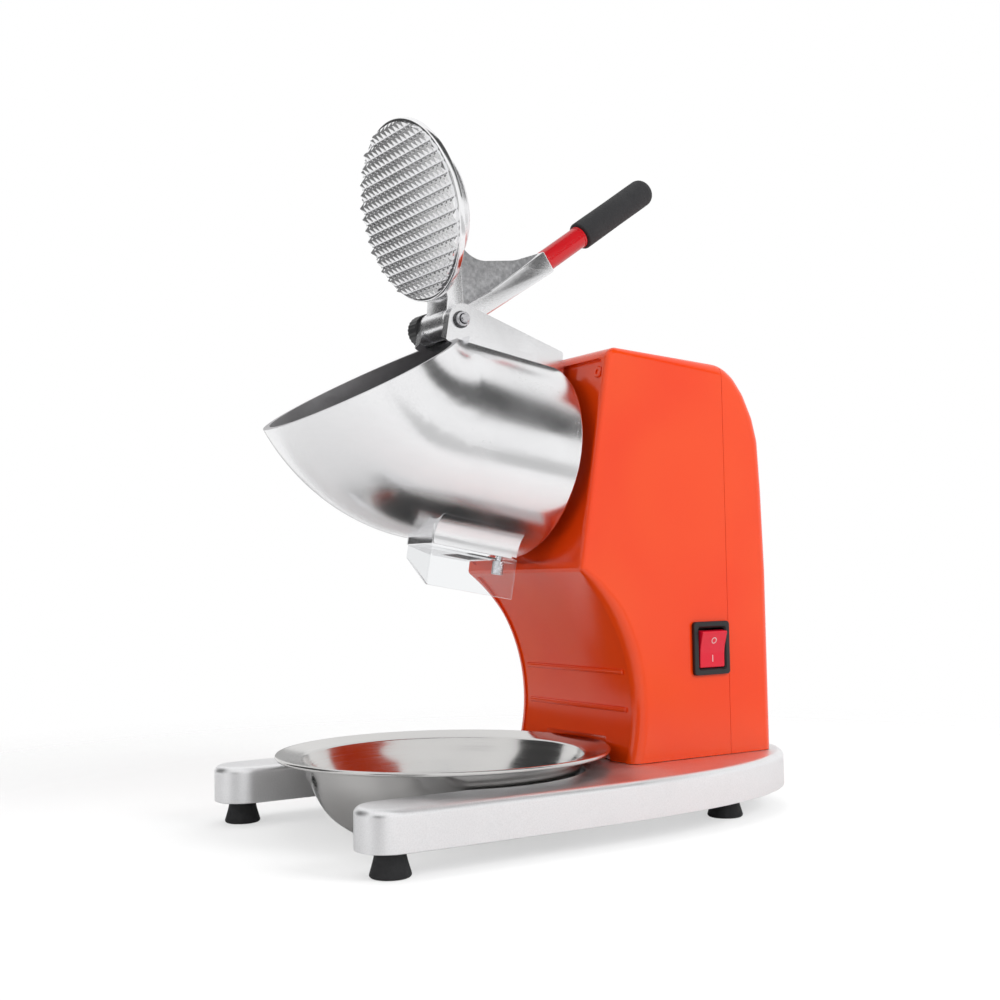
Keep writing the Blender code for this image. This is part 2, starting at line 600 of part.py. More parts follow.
def build_blades():
    """The slotted disc, its two blades with their screws, and the nut: all turn with the shaft."""
    back = DISC_FRONT + DISC_THICK
    bore, radius = SHAFT_R + GAP, DISC_R
    disc = turned("blade_disc", [(bore, back + HUB_LEN), (HUB_R, back + HUB_LEN), (HUB_R, back), (radius, back),
                                 (radius, DISC_FRONT), (bore, DISC_FRONT)], STEEL, AXIS, steps=48)
    top = DISC_FRONT - GAP
    half, edge = BLADE_LEN / 2, BLADE_WIDE * 0.25
    outline = [(-BLADE_WIDE + edge, top - BLADE_THICK), (edge - 0.0030, top - BLADE_THICK), (edge, top - 0.0006),
               (edge, top), (-BLADE_WIDE + edge, top)]
    for side, turn in ((1, 0.0), (2, math.pi)):
        frame = empty(f"blade_frame_{side}", AXIS, (0, 0, 0), (0, turn, 0))
        cut(disc, box(f"blade_slot_{side}", (BLADE_R - half - 0.001, DISC_FRONT - 0.01, edge - 0.0015),
                      (BLADE_R + half + 0.001, back + 0.0002, edge - 0.0015 + SLOT_WIDE), None, frame))
        blade = prism(f"blade_{side}", [[(s, h) for h, s in outline]], BLADE_R - half, BLADE_R + half,
                      BLADE_STEEL, frame)
        for k, x in enumerate((BLADE_R - half * 0.55, BLADE_R + half * 0.55), 1):
            where = (x, 0, -BLADE_WIDE / 2 + edge)
            hole = rod(f"blade_hole_{side}_{k}", BLADE_SCREW_R + GAP, top - 0.01, back + 0.01, None, frame,
                       where, ALONG, 8)
            cut(blade, hole)
            cut(disc, hole)
            under = top - BLADE_THICK - GAP
            turned(f"blade_screw_{side}_{k}", [
                (0, back - 0.0003), (BLADE_SCREW_R, back - 0.0003), (BLADE_SCREW_R, under), (BLADE_HEAD_R, under),
                (BLADE_HEAD_R * 0.8, under - BLADE_HEAD_LEN), (0, under - BLADE_HEAD_LEN)],
                STEEL, frame, where, ALONG, 8)
    face = DISC_FRONT - GAP
    turned("disc_nut", [(0, face - 0.0040), (SHAFT_R - 0.0015 + GAP, face - 0.0040),
                        (SHAFT_R - 0.0015 + GAP, face), (0.0095, face), (0.0095, face - 0.0035),
                        (0.0060, face - 0.0080), (0, face - 0.0090)], STEEL, AXIS, steps=24)
    turned("shaft", [(0, SHAFT_END), (SHAFT_R, SHAFT_END), (SHAFT_R, DISC_FRONT + GAP),
                     (SHAFT_R - 0.0015, DISC_FRONT + GAP), (SHAFT_R - 0.0015, face - 0.0036),
                     (0, face - 0.0036)], STEEL, AXIS, steps=24)


def build_motor():
    """The motor on its plate: can, core, armature, bearings, end cap and fan."""
    plate = box("motor_plate", (-PLATE_HALF, INNER_S + GAP, -PLATE_HALF + 0.004),
                (PLATE_HALF, INNER_S + GAP + PLATE_THICK, PLATE_HALF - 0.004), STEEL, AXIS)
    cut(plate, rod("plate_bore", SHAFT_R + 0.003, 0, 0.2, None, AXIS, steps=24))
    rear = MOTOR_S + MOTOR_LEN
    seat, inside = BEARING_R + GAP, MOTOR_R - MOTOR_WALL
    turned("motor_can", [(inside, rear), (MOTOR_R, rear), (MOTOR_R, MOTOR_S + 0.003), (MOTOR_R - 0.003, MOTOR_S),
                         (seat, MOTOR_S), (seat, MOTOR_S + BEARING_LEN), (inside, MOTOR_S + BEARING_LEN)],
           PAINTED, AXIS, steps=24)
    turned("motor_end_cap", [(seat, MOTOR_END), (MOTOR_R - 0.003, MOTOR_END), (MOTOR_R, MOTOR_END - 0.002),
                             (MOTOR_R, rear + GAP), (seat, rear + GAP)], PAINTED, AXIS, steps=24)
    middle = MOTOR_S + MOTOR_LEN / 2
    low, high = middle - CORE_LEN / 2, middle + CORE_LEN / 2
    ring("stator_core", STATOR_R, inside - GAP, low, high, CORE_IRON, AXIS, steps=24)
    ring("stator_winding", STATOR_R + 0.002, inside - 0.004, high + GAP, high + 0.010, COPPER, AXIS, steps=24)
    ring("armature", SHAFT_R + GAP, ARMATURE_R, low, high, CORE_IRON, AXIS, steps=24)
    for name, s in (("barrel_bearing", CHAMBER_REAR), ("motor_bearing_front", MOTOR_S),
                    ("motor_bearing_rear", rear + GAP)):
        ring(name, SHAFT_R + GAP, BEARING_R, s + 0.0002, s + BEARING_LEN - 0.0002, STEEL, AXIS, steps=24)
    fan = ring("motor_fan", SHAFT_R + GAP, 0.0110, FAN_S, FAN_S + FAN_LEN, BLACK, AXIS, steps=24)
    for i in range(FAN_BLADES):
        turn = 2 * math.pi * i / FAN_BLADES
        frame = empty(f"fan_frame_{i}", AXIS, (0, 0, 0), (0, turn, 0))
        join(fan, box(f"fan_blade_{i}", (0.0100, FAN_S + 0.0008, -0.0010), (FAN_R, FAN_S + FAN_LEN - 0.0008, 0.0010),
                      None, frame))
    for i in range(4):
        x, h = fixing_place(i)
        cut(plate, rod(f"plate_hole_{i}", FIXING_R + GAP, 0, 0.2, None, AXIS, (x, 0, h), ALONG, 10))
        turned(f"barrel_screw_{i + 1}", [
            (0, MOTOR_S - 0.001), (FIXING_R, MOTOR_S - 0.001), (FIXING_R, CHAMBER_REAR - GAP),
            (0.0038, CHAMBER_REAR - GAP), (0.0038, CHAMBER_REAR - 0.0022), (0.0028, CHAMBER_REAR - 0.0030),
            (0, CHAMBER_REAR - 0.0030)], STEEL, AXIS, (x, 0, h), ALONG, 10)


def lever_at_rest(point):
    """A point of the open lever's own frame, in the barrel's frame."""
    turn = -OPEN_ANGLE
    y, z = point
    return (y * math.cos(turn) - z * math.sin(turn), BEND_R + y * math.sin(turn) + z * math.cos(turn))


def build_lever():
    """The press lever, drawn closed in the pivot's frame, which then swings it open."""
    pivot = empty("lever_pivot", AXIS, (0, 0, BEND_R), (-OPEN_ANGLE, 0, 0))
    centre = (0, 0, -BEND_R)
    back = PRESS_FACE - PRESS_PLATE
    top = back - GAP
    lever = turned("lever_arm", [
        (0, CUP_BACK + CUP_WALL), (CUP_R - CUP_WALL, CUP_BACK + CUP_WALL), (CUP_R - CUP_WALL, top), (CUP_R, top),
        (CUP_R, CUP_BACK + 0.003), (CUP_R - 0.003, CUP_BACK), (0, CUP_BACK)], ALUMINIUM, pivot, centre, ALONG, 44)
    join(lever, rod("cup_post", 0.0065, CUP_BACK + 0.001, top, None, pivot, centre, ALONG, 20))
    neck_half = LUG_SLOT - NECK_SIDE_GAP
    cup_top = -BEND_R + CUP_R
    neck = [(BOSS_R * 0.6, -0.0040), (top - 0.0004, PRESS_R - BEND_R + 0.0010), (top - 0.0004, cup_top - 0.0010), (CUP_BACK + CUP_WALL - 0.0005, cup_top - 0.0020),
            (CUP_BACK + 0.0005, cup_top - 0.0120), (CUP_BACK + 0.0005, cup_top + 0.0020),
            (-BOSS_R * 0.95, -0.0060), (-BOSS_R * 0.95, 0.0010), (0, BOSS_R * 0.9)]
    join(lever, prism("neck", [neck], -neck_half, neck_half, None, pivot))
    join(lever, rod("boss", BOSS_R, -neck_half - 0.0001, neck_half + 0.0001, None, pivot, rot=ACROSS, steps=28))
    under, over = ARM_START + ARM_ROUND, ARM_START - ARM_ROUND
    heel = (-0.0220, 0.0012)
    web = rounded([(-0.0030, 0.0070), heel, tuple(under), tuple(over), (-0.0600, -0.0305), (-0.0310, -0.0345),
                   (CUP_BACK - 0.0005, -0.0560), (CUP_BACK + 0.0020, -0.0560), (-0.0060, -0.0200)],
                  [0, 0.010, 0, 0, 0.030, 0.020, 0, 0, 0])
    join(lever, prism("web", [web], -WEB_HALF_X, WEB_HALF_X, None, pivot))
    rib = [(-0.0032, 0.0068), (heel[0], heel[1] + 0.0001), tuple(under + ARM_ROUND * 0.01),
           tuple(over - ARM_ROUND * 0.01), (-0.0600, -0.0245), (-0.0320, -0.0140), (-0.0060, -0.0070)]
    join(lever, prism("rib", [rib], -RIB_HALF_X, RIB_HALF_X, None, pivot))
    along = (math.atan2(-ARM_DIR.x, ARM_DIR.y), 0, 0)
    start = (0, ARM_START.x, ARM_START.y)
    tang_end = SLEEVE_LEN + GRIP_LEN - 0.010
    join(lever, rod("tang", TANG_R, -0.006, tang_end, None, pivot, start, along, 20))
    cut(lever, rod("boss_hole", PIVOT_BOLT_R + GAP, -0.05, 0.05, None, pivot, rot=ACROSS, steps=20))
    cut(lever, rod("post_hole", PRESS_SCREW_R + GAP, CUP_BACK - 0.01, top + 0.01, None, pivot, centre, ALONG, 16))
    bore = TANG_R + GAP
    turned("lever_sleeve", [(bore, SLEEVE_LEN), (SLEEVE_R, SLEEVE_LEN), (SLEEVE_R, 0.0020), (SLEEVE_R - 0.0008, GAP),
                            (bore, GAP)], RED, pivot, start, along, 28)
    end = SLEEVE_LEN + GRIP_LEN
    grip = [(0, tang_end + GAP), (bore, tang_end + GAP), (bore, SLEEVE_LEN + GAP)]
    grip += [(GRIP_R - 0.0015, SLEEVE_LEN + GAP), (GRIP_R, SLEEVE_LEN + 0.0020)]
    grip += [(x, end - 0.005 + y) for x, y in arc(GRIP_R - 0.005, 0, 0.005, 0, 90, 4)] + [(0, end)]
    turned("lever_grip", grip[::-1], RUBBER, pivot, start, along, 28)
    build_press_disc(pivot, centre, back)
    screw_end = back + PRESS_PLATE * 0.7
    turned("press_screw", [(0, screw_end), (PRESS_SCREW_R, screw_end), (PRESS_SCREW_R, CUP_BACK - GAP),
                           (PRESS_HEAD_R, CUP_BACK - GAP), (PRESS_HEAD_R, CUP_BACK - PRESS_HEAD_LEN + 0.001),
                           (PRESS_HEAD_R - 0.001, CUP_BACK - PRESS_HEAD_LEN), (0, CUP_BACK - PRESS_HEAD_LEN)],
           STEEL, pivot, centre, ALONG, 16)
    reach = LUG_OUTER + GAP
    turned("pivot_bolt", [(0, reach + PIVOT_NUT_LEN + PIVOT_END), (PIVOT_BOLT_R - 0.0006, reach + PIVOT_NUT_LEN + PIVOT_END),
                          (PIVOT_BOLT_R, reach + PIVOT_NUT_LEN + PIVOT_END - 0.0006), (PIVOT_BOLT_R, -reach - 0.0040),
                          (0, -reach - 0.0040)], STEEL, AXIS, (0, 0, BEND_R), ACROSS, 20)
    nut_hole = PIVOT_BOLT_R + GAP
    turned("pivot_nut", [(nut_hole, reach + PIVOT_NUT_LEN), (PIVOT_NUT_R - 0.0008, reach + PIVOT_NUT_LEN),
                         (PIVOT_NUT_R - 0.0008, reach + 0.0012), (PIVOT_NUT_R, reach + 0.0012), (PIVOT_NUT_R, reach),
                         (nut_hole, reach)], STEEL, AXIS, (0, 0, BEND_R), ACROSS, 20)
    turned("pivot_cap", [(0, -reach - 0.0043), (nut_hole, -reach - 0.0043), (nut_hole, -reach), (PIVOT_CAP_R, -reach),
                         (PIVOT_CAP_R, -reach - PIVOT_CAP_LEN + 0.002), (PIVOT_CAP_R - 0.002, -reach - PIVOT_CAP_LEN),
                         (0, -reach - PIVOT_CAP_LEN)], BLACK, AXIS, (0, 0, BEND_R), ACROSS, 24)
    floor = LUG_REAR_TOP - WEB_DROP + 0.002 + GAP
    first, last = Vector(lever_at_rest((-0.0032, 0.0068))), Vector(lever_at_rest(heel))
    slope = (last.y - first.y) / (last.x - first.x)
    near = SLOT_REAR + GAP
    rise = [(s, first.y + (s - first.x) * slope - GAP * 2) for s in (near, near + STOP_LEN)]
    prism("lever_stop", [[(near, floor), (near + STOP_LEN, floor), rise[1], rise[0]]],
          -LUG_SLOT + GAP, LUG_SLOT - GAP, BLACK, AXIS)


def build_press_disc(pivot, centre, back):
    """The toothed press disc: V grooves cut both ways leave rows of flat-topped pyramids."""
    pad = PRESS_R - PRESS_RIM
    tip = PRESS_FACE + TOOTH_HEIGHT
    disc = turned("press_disc", [(0, tip), (pad, tip), (pad, PRESS_FACE), (PRESS_R - 0.0008, PRESS_FACE),
                                 (PRESS_R, PRESS_FACE - 0.0008), (PRESS_R, back), (0, back)],
                  ALUMINIUM, pivot, centre, ALONG, 48)

    def grooves(count):
        """The middle, half width at the tips and depth of each groove across the pad."""
        pitch = 2 * (pad + 0.0007) / count
        half = (pitch - TOOTH_TIP) / 2
        return [(-pad - 0.0007 + pitch * i, half) for i in range(count + 1)]

    root, over = PRESS_FACE + GAP, tip + 0.0002
    widen = (over - root) / (tip - root)
    rows = [[(over, z - half * widen), (over, z + half * widen), (root, z)] for z, half in grooves(TOOTH_ROWS)]
    columns = [[(x - half * widen, over), (x, root), (x + half * widen, over)]
               for x, half in grooves(TOOTH_COLUMNS)]
    cut(disc, prism("tooth_rows", rows, -0.07, 0.07, None, pivot, centre))
    cut(disc, prism("tooth_columns", columns, -0.07, 0.07, None, pivot, centre, FLAT))
    cut(disc, rod("press_hole", PRESS_SCREW_R + GAP, back - 0.01, back + PRESS_PLATE * 0.8, None, pivot, centre,
                  ALONG, 16))
    return disc


def front_point(height):
    """The point of the housing's leaning front at a height above the barrel's axis, as (Y, Z)."""
    return (AXIS_Y + FRONT_S * math.cos(TILT) + height * math.sin(TILT),
            AXIS_Z - FRONT_S * math.sin(TILT) + height * math.cos(TILT))


def housing_outline():
    """The housing seen from the side: hollowed lower front, chin, leaning front and round back."""
    y0, z0 = front_point(0)
    dy, dz = y0 - CURVE_Y, z0 - CURVE_Z
    lean = dy * math.sin(TILT) + dz * math.cos(TILT)
    chin_h = -lean + math.sqrt(lean * lean - (dy * dy + dz * dz - CURVE_R ** 2))
    chin_h = min(chin_h, -lean - math.sqrt(lean * lean - (dy * dy + dz * dz - CURVE_R ** 2)), key=abs)
    chin = front_point(chin_h)
    low = BASE_UNDER
    start = math.degrees(math.asin((low - CURVE_Z) / CURVE_R))
    end = math.degrees(math.atan2(chin[1] - CURVE_Z, chin[0] - CURVE_Y))
    curve = arc(CURVE_Y, CURVE_Z, CURVE_R, end, start, 18)[1:]
    top_h = (HOUSING_TOP - z0) / math.cos(TILT)
    bend = [(HOUSING_REAR - inset_y, HOUSING_TOP - drop) for inset_y, drop in REAR_BEND]
    corners = [curve[-1], (HOUSING_REAR, low)] + bend + [front_point(top_h), chin] + curve[:-1]
    radii = [0, 0] + [REAR_ROUND] * len(bend) + [TOP_ROUND, CHIN_ROUND] + [0] * (len(curve) - 1)
    return rounded(corners, radii, 4)


def edge_width(y, z):
    """How far the housing's side edges are rounded: little along the leaning front, more elsewhere."""
    s = (y - AXIS_Y) * math.cos(TILT) - (z - AXIS_Z) * math.sin(TILT)
    reach = max(0.0, s - FRONT_S) / EDGE_TAPER
    return FRONT_EDGE + (HOUSING_EDGE - FRONT_EDGE) * min(1.0, reach)


def rectangle(wide, high, radius, shift=0.0):
    """A rounded rectangle round the middle."""
    x, y = wide / 2, high / 2
    corners = [(-x, -y + shift), (x, -y + shift), (x, y + shift), (-x, y + shift)]
    return rounded(corners, [radius] * 4, 4)


def build_housing():
    """Front shell with its recess and ribs, rear cover with its vents, switch opening and bosses."""
    outline = housing_outline()
    cavity = rounded_prism("cavity", inset(outline, HOUSING_WALL), HOUSING_HALF - HOUSING_WALL,
                           lambda y, z: edge_width(y, z) - HOUSING_WALL, None, 3)
    middle, high = (RECESS_LOW + RECESS_HIGH) / 2, RECESS_HIGH - RECESS_LOW
    wall = HOUSING_WALL
    keep = prism("recess_keep", [rectangle(2 * (RECESS_HALF + wall) + 0.02, high + 2 * wall, RECESS_ROUND + wall, -middle)],
                 FRONT_S - 0.05, INNER_S, None, AXIS, rot=ALONG)
    relief_r, relief_top = BOWL_RIM_R + RIM_RELIEF, BOWL_HEIGHT + RIM_RELIEF
    cut(cavity, keep, rod("rim_keep", relief_r + wall, 0, relief_top + wall, None, ORIGIN, (0, BOWL_Y, 0), FLAT, 64))
    below = box("below", (-0.2, -0.1, -0.2), (0.2, 0.5, HOUSING_BOTTOM), None, ORIGIN)
    shells = {}
    for name, low, top in (("housing_front", SEAM_Y - GAP / 2, 0.6), ("housing_rear", -0.2, SEAM_Y + GAP / 2)):
        shell = rounded_prism(name, outline, HOUSING_HALF, edge_width, ORANGE)
        cut(shell, cavity, below, box(f"{name}_side", (-0.2, min(low, top), -0.1), (0.2, max(low, top), 0.5), None, ORIGIN))
        shells[name] = shell
    front, rear = shells["housing_front"], shells["housing_rear"]
    cut(front, prism("recess", [rectangle(2 * RECESS_HALF, high, RECESS_ROUND, -middle)],
                     FRONT_S - 0.05, RECESS_S, None, AXIS, rot=ALONG))
    cut(front, rod("rim_relief", relief_r, 0, relief_top, None, ORIGIN, (0, BOWL_Y, 0), FLAT, 64))
    for i, z in enumerate(RIB_Z):
        y = CURVE_Y + math.sqrt(CURVE_R ** 2 - (z - CURVE_Z) ** 2)
        join(front, rod(f"rib_{i}", RIB_R, -RIB_HALF, RIB_HALF, None, ORIGIN, (0, y, z), ACROSS, 10))
    cut(front, rod("shell_bore", SHAFT_R + 0.003, 0, 0.2, None, AXIS, steps=24))
    for i in range(4):
        x, h = fixing_place(i)
        cut(front, rod(f"shell_hole_{i}", FIXING_R + GAP, 0, 0.2, None, AXIS, (x, 0, h), ALONG, 10))
    for i, (x, y) in enumerate(FIXINGS):
        shell = front if y < SEAM_Y else rear
        side = math.copysign(1, x)
        reach = sorted((x, side * (HOUSING_HALF - 0.001)))
        join(shell, rod(f"shell_post_{i}", 0.0055, HOUSING_BOTTOM, HOUSING_BOTTOM + 0.018, None, ORIGIN, (x, y, 0),
                        FLAT, 20))
        join(shell, box(f"post_rib_{i}", (reach[0], y - 0.0015, HOUSING_BOTTOM + 0.0003),
                        (reach[1], y + 0.0015, HOUSING_BOTTOM + 0.0177), None, ORIGIN))
        cut(shell, rod(f"post_hole_{i}", FIXING_R + GAP, 0, HOUSING_BOTTOM + 0.014, None, ORIGIN, (x, y, 0), FLAT, 12))
        head = BASE_UNDER + 0.006 - GAP
        turned(f"housing_screw_{i + 1}", [
            (0, HOUSING_BOTTOM + 0.012), (FIXING_R, HOUSING_BOTTOM + 0.012), (FIXING_R, head), (0.0040, head),
            (0.0040, head - 0.0020), (0.0030, head - 0.0028), (0, head - 0.0028)], STEEL, ORIGIN, (x, y, 0), FLAT, 10)
    for i in range(VENT_COUNT):
        z = VENT_LOW + VENT_PITCH * i
        cut(rear, box(f"vent_{i}", (-VENT_HALF, HOUSING_REAR - 0.02, z), (VENT_HALF, HOUSING_REAR + 0.02, z + VENT_HIGH),
                      None, ORIGIN))
    cut(rear, rod("gland_hole", GLAND_R + GAP, -0.02, 0.02, None, ORIGIN, (0, HOUSING_REAR, GLAND_Z), ALONG, 24))
    turned("cable_gland", [(GLAND_BORE, 0.0060), (0.0075, 0.0060), (0.0090, 0.0040), (0.0090, GAP),
                           (GLAND_R, GAP), (GLAND_R, -0.0120), (GLAND_BORE, -0.0120)],
           BLACK, ORIGIN, (0, HOUSING_REAR, GLAND_Z), ALONG, 24)
    ring("gland_nut", (GLAND_R + GAP) / math.cos(math.pi / 6), 0.0095, -HOUSING_WALL - 0.0050, -HOUSING_WALL - GAP, BLACK, ORIGIN,
         (0, HOUSING_REAR, GLAND_Z), ALONG, 6)
    build_switch(front)


def build_switch(shell):
    """The rocker switch in the right wall: bezel with its body, and the two-way rocker."""
    place = (0, SWITCH_Y, SWITCH_Z)
    face = HOUSING_HALF + GAP
    cut(shell, prism("switch_hole", [rectangle(BODY_WIDE + 2 * GAP, BODY_HIGH + 2 * GAP, 0.0015)], 0.03, 0.09,
                     None, ORIGIN, place))
    bezel = prism("switch_bezel", [rectangle(BEZEL_WIDE, BEZEL_HIGH, 0.0030)], face, face + BEZEL_PROUD,
                  BLACK, ORIGIN, place)
    bevel(bezel, 0.0006, 2)
    join(bezel, prism("switch_body", [rectangle(BODY_WIDE, BODY_HIGH, 0.0015)], HOUSING_HALF - BODY_DEEP,
                      face + 0.0005, None, ORIGIN, place))
    cut(bezel, prism("switch_pocket", [rectangle(ROCKER_WIDE + 2 * ROCKER_CLEAR, ROCKER_ROOM, 0.0010)],
                     HOUSING_HALF - ROCKER_POCKET, 0.09, None, ORIGIN, place))
    swing = empty("rocker_pivot", ORIGIN, (ROCKER_X, SWITCH_Y, SWITCH_Z), (0, ROCKER_SWING, 0))
    high = ROCKER_HIGH / 2
    proud = HOUSING_HALF - ROCKER_X + ROCKER_PROUD
    outline = [(-0.0035, -0.0050), (0.0010, -high), (proud, -high), (proud - ROCKER_DISH, 0), (proud, high),
               (0.0010, high), (-0.0035, 0.0050)]
    rocker = prism("switch_rocker", [rounded(outline, [0.001, 0.001, 0.0008, 0.03, 0.0008, 0.001, 0.001], 3)],
                   -ROCKER_WIDE / 2, ROCKER_WIDE / 2, RED, swing, rot=(math.pi / 2, 0, 0))
    return rocker


clear_scene()
PARTS, CUTTERS = collection("ice_crusher"), collection("cutters")
ALUMINIUM = finish("aluminium", (0.80, 0.80, 0.80), 0.28, 1.0)
STAINLESS = finish("stainless", (0.72, 0.72, 0.72), 0.18, 1.0)
STEEL = finish("steel", (0.62, 0.62, 0.64), 0.30, 1.0)
BLADE_STEEL = finish("blade_steel", (0.70, 0.71, 0.72), 0.20, 1.0)
CORE_IRON = finish("core_iron", (0.30, 0.30, 0.31), 0.50, 0.9)
COPPER = finish("copper", (0.72, 0.38, 0.20), 0.35, 1.0)
PAINTED = finish("painted_steel", (0.10, 0.10, 0.11), 0.45, 0.0)
ORANGE = finish("orange_plastic", (0.95, 0.10, 0.02), 0.22)
RED = finish("red_plastic", (0.62, 0.01, 0.02), 0.30)
BLACK = finish("black_plastic", (0.015, 0.015, 0.016), 0.40)
RUBBER = finish("rubber", (0.022, 0.022, 0.024), 0.75)
CLEAR = finish("clear_plastic", (0.90, 0.93, 0.95), 0.05, 0.0, 0.25)
ORIGIN = empty("origin", None, (0, Y_SHIFT, 0))
AXIS = empty("barrel_axis", ORIGIN, (0, AXIS_Y, AXIS_Z), (-TILT, 0, 0))
build_base()
build_bowl()
build_barrel()
build_guard()
build_blades()
build_motor()
build_lever()
build_housing()
bpy.context.view_layer.update()
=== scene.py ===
"""Looks of the ice crusher: finishes, fine surfaces, small fittings, light and camera.

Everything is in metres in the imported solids' frame: +Z up, the user at -Y, the switch at +X. What
belongs to the barrel is drawn in the barrel's own frame, with Y down the barrel to the motor, and
what belongs to the lever in the frame of its pivot, drawn closed and then swung open.
"""
import logging
import math
from dataclasses import dataclass, field
from enum import Enum
from typing import Any, Callable, Iterable, Optional, Sequence

import bmesh
import bpy
from mathutils import Matrix, Vector


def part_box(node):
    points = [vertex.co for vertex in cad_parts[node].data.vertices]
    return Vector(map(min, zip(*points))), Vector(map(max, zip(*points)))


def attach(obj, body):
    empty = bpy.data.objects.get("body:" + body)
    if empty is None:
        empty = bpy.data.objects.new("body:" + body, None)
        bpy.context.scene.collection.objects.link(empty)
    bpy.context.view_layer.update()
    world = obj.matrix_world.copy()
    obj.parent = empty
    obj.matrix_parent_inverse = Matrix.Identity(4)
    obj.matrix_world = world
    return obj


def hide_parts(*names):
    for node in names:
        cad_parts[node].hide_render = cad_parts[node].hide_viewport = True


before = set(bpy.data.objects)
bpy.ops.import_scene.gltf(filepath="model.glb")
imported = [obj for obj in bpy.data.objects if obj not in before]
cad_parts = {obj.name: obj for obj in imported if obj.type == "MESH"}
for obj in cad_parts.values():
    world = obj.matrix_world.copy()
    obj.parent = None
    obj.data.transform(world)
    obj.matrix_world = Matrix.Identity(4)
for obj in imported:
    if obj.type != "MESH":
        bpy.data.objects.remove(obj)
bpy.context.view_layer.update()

LOG = logging.getLogger("ice_crusher")
Point2 = tuple[float, float]
Point3 = tuple[float, float, float]
Socket = bpy.types.NodeSocket
Node = bpy.types.Node
Tree = bpy.types.NodeTree
Material = bpy.types.Material
Mesh = bpy.types.Mesh
Piece = bpy.types.Object
moved = Matrix.Translation
WELD = 1e-6          # points closer than this are one
SCREW_HOLE = 0.0023  # radius of the small screws' holes
HEAD_HOLE = 0.0046   # radius of the sunk holes for their heads
BOLT_HOLE = 0.0031   # radius of the pivot bolt's hole
FAR = 0.2            # a cut that goes right through


class Body(Enum):
    """The bodies that a piece can ride on."""

    STAND = "stand"
    LEVER = "lever"
    ROTOR = "rotor"
    ROCKER = "rocker"
    BOWL = "catch_bowl"


@dataclass(frozen=True)
class Layout:
    """Places that the sub-assemblies share, in metres and radians."""

    shift_y: float = -0.152178
    tilt: float = math.radians(10.0)
    pivot_y: float = 0.0940
    pivot_z: float = 0.3035
    bend_r: float = 0.0710
    open_angle: float = math.radians(155.0)
    switch_y: float = 0.2440
    switch_z: float = 0.1025
    rocker_x: float = 0.0627
    rocker_swing: float = math.radians(9.0)
    bowl_y: float = 0.0886
    half: float = 0.0647
    thumb: Point2 = (0.0240, 0.0455)
    fixing_circle: float = 0.0330
    posts: tuple[Point2, ...] = ((0.0480, 0.2070), (0.0480, 0.2800))
    feet: tuple[str, ...] = ("front_left", "front_right", "rear_left", "rear_right")

    def bench(self, x: float, y: float, z: float) -> Vector:
        """A point given from the line through the front feet, in the frame's own place."""
        return Vector((x, y + self.shift_y, z))

    def bench_matrix(self) -> Matrix:
        """The frame whose Y starts at the line through the front feet."""
        return moved((0, self.shift_y, 0))

    def barrel_middle(self) -> Point2:
        """The Y and Z of the barrel's axis, square under the pivot."""
        return (self.pivot_y - self.bend_r * math.sin(self.tilt), self.pivot_z - self.bend_r * math.cos(self.tilt))

    def barrel_matrix(self) -> Matrix:
        """The barrel's frame: Y runs down the barrel, and Z square to it."""
        return moved(self.bench(0, *self.barrel_middle())) @ Matrix.Rotation(-self.tilt, 4, "X")

    def lever_matrix(self) -> Matrix:
        """The closed lever's frame, swung open about its pivot."""
        lift = moved((0, 0, self.bend_r))
        return self.barrel_matrix() @ lift @ Matrix.Rotation(-self.open_angle, 4, "X")

    def rocker_matrix(self) -> Matrix:
        """The rocker's frame: X points out of the housing, Z up along the tilted rocker."""
        place = moved(self.bench(self.rocker_x, self.switch_y, self.switch_z))
        return place @ Matrix.Rotation(self.rocker_swing, 4, "Y")

    def fixings(self) -> list[Matrix]:
        """The four barrel screws' places round the barrel's axis."""
        turns = [math.radians(45 + 90 * i) for i in range(4)]
        return [moved((self.fixing_circle * math.cos(t), 0, self.fixing_circle * math.sin(t)))
                for t in turns]

    def post_places(self) -> list[Point2]:
        """Where the housing's screws stand, on both sides."""
        return [(side * x, y) for side in (-1, 1) for x, y in self.posts]

    def foot_places(self) -> dict[str, Matrix]:
        """The floor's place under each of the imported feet.

        Returns:
            The places by the feet's names.
        """
        places = {}
        for end in self.feet:
            low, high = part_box(f"foot_{end}")
            places[end] = moved(((low[0] + high[0]) / 2, (low[1] + high[1]) / 2, 0))
        return places


PLACE = Layout()
ALONG = Matrix.Rotation(-math.pi / 2, 4, "X")
ACROSS = Matrix.Rotation(math.pi / 2, 4, "Y")
SIDE = Matrix.Rotation(math.pi / 2, 4, "Z") @ Matrix.Rotation(math.pi / 2, 4, "X")


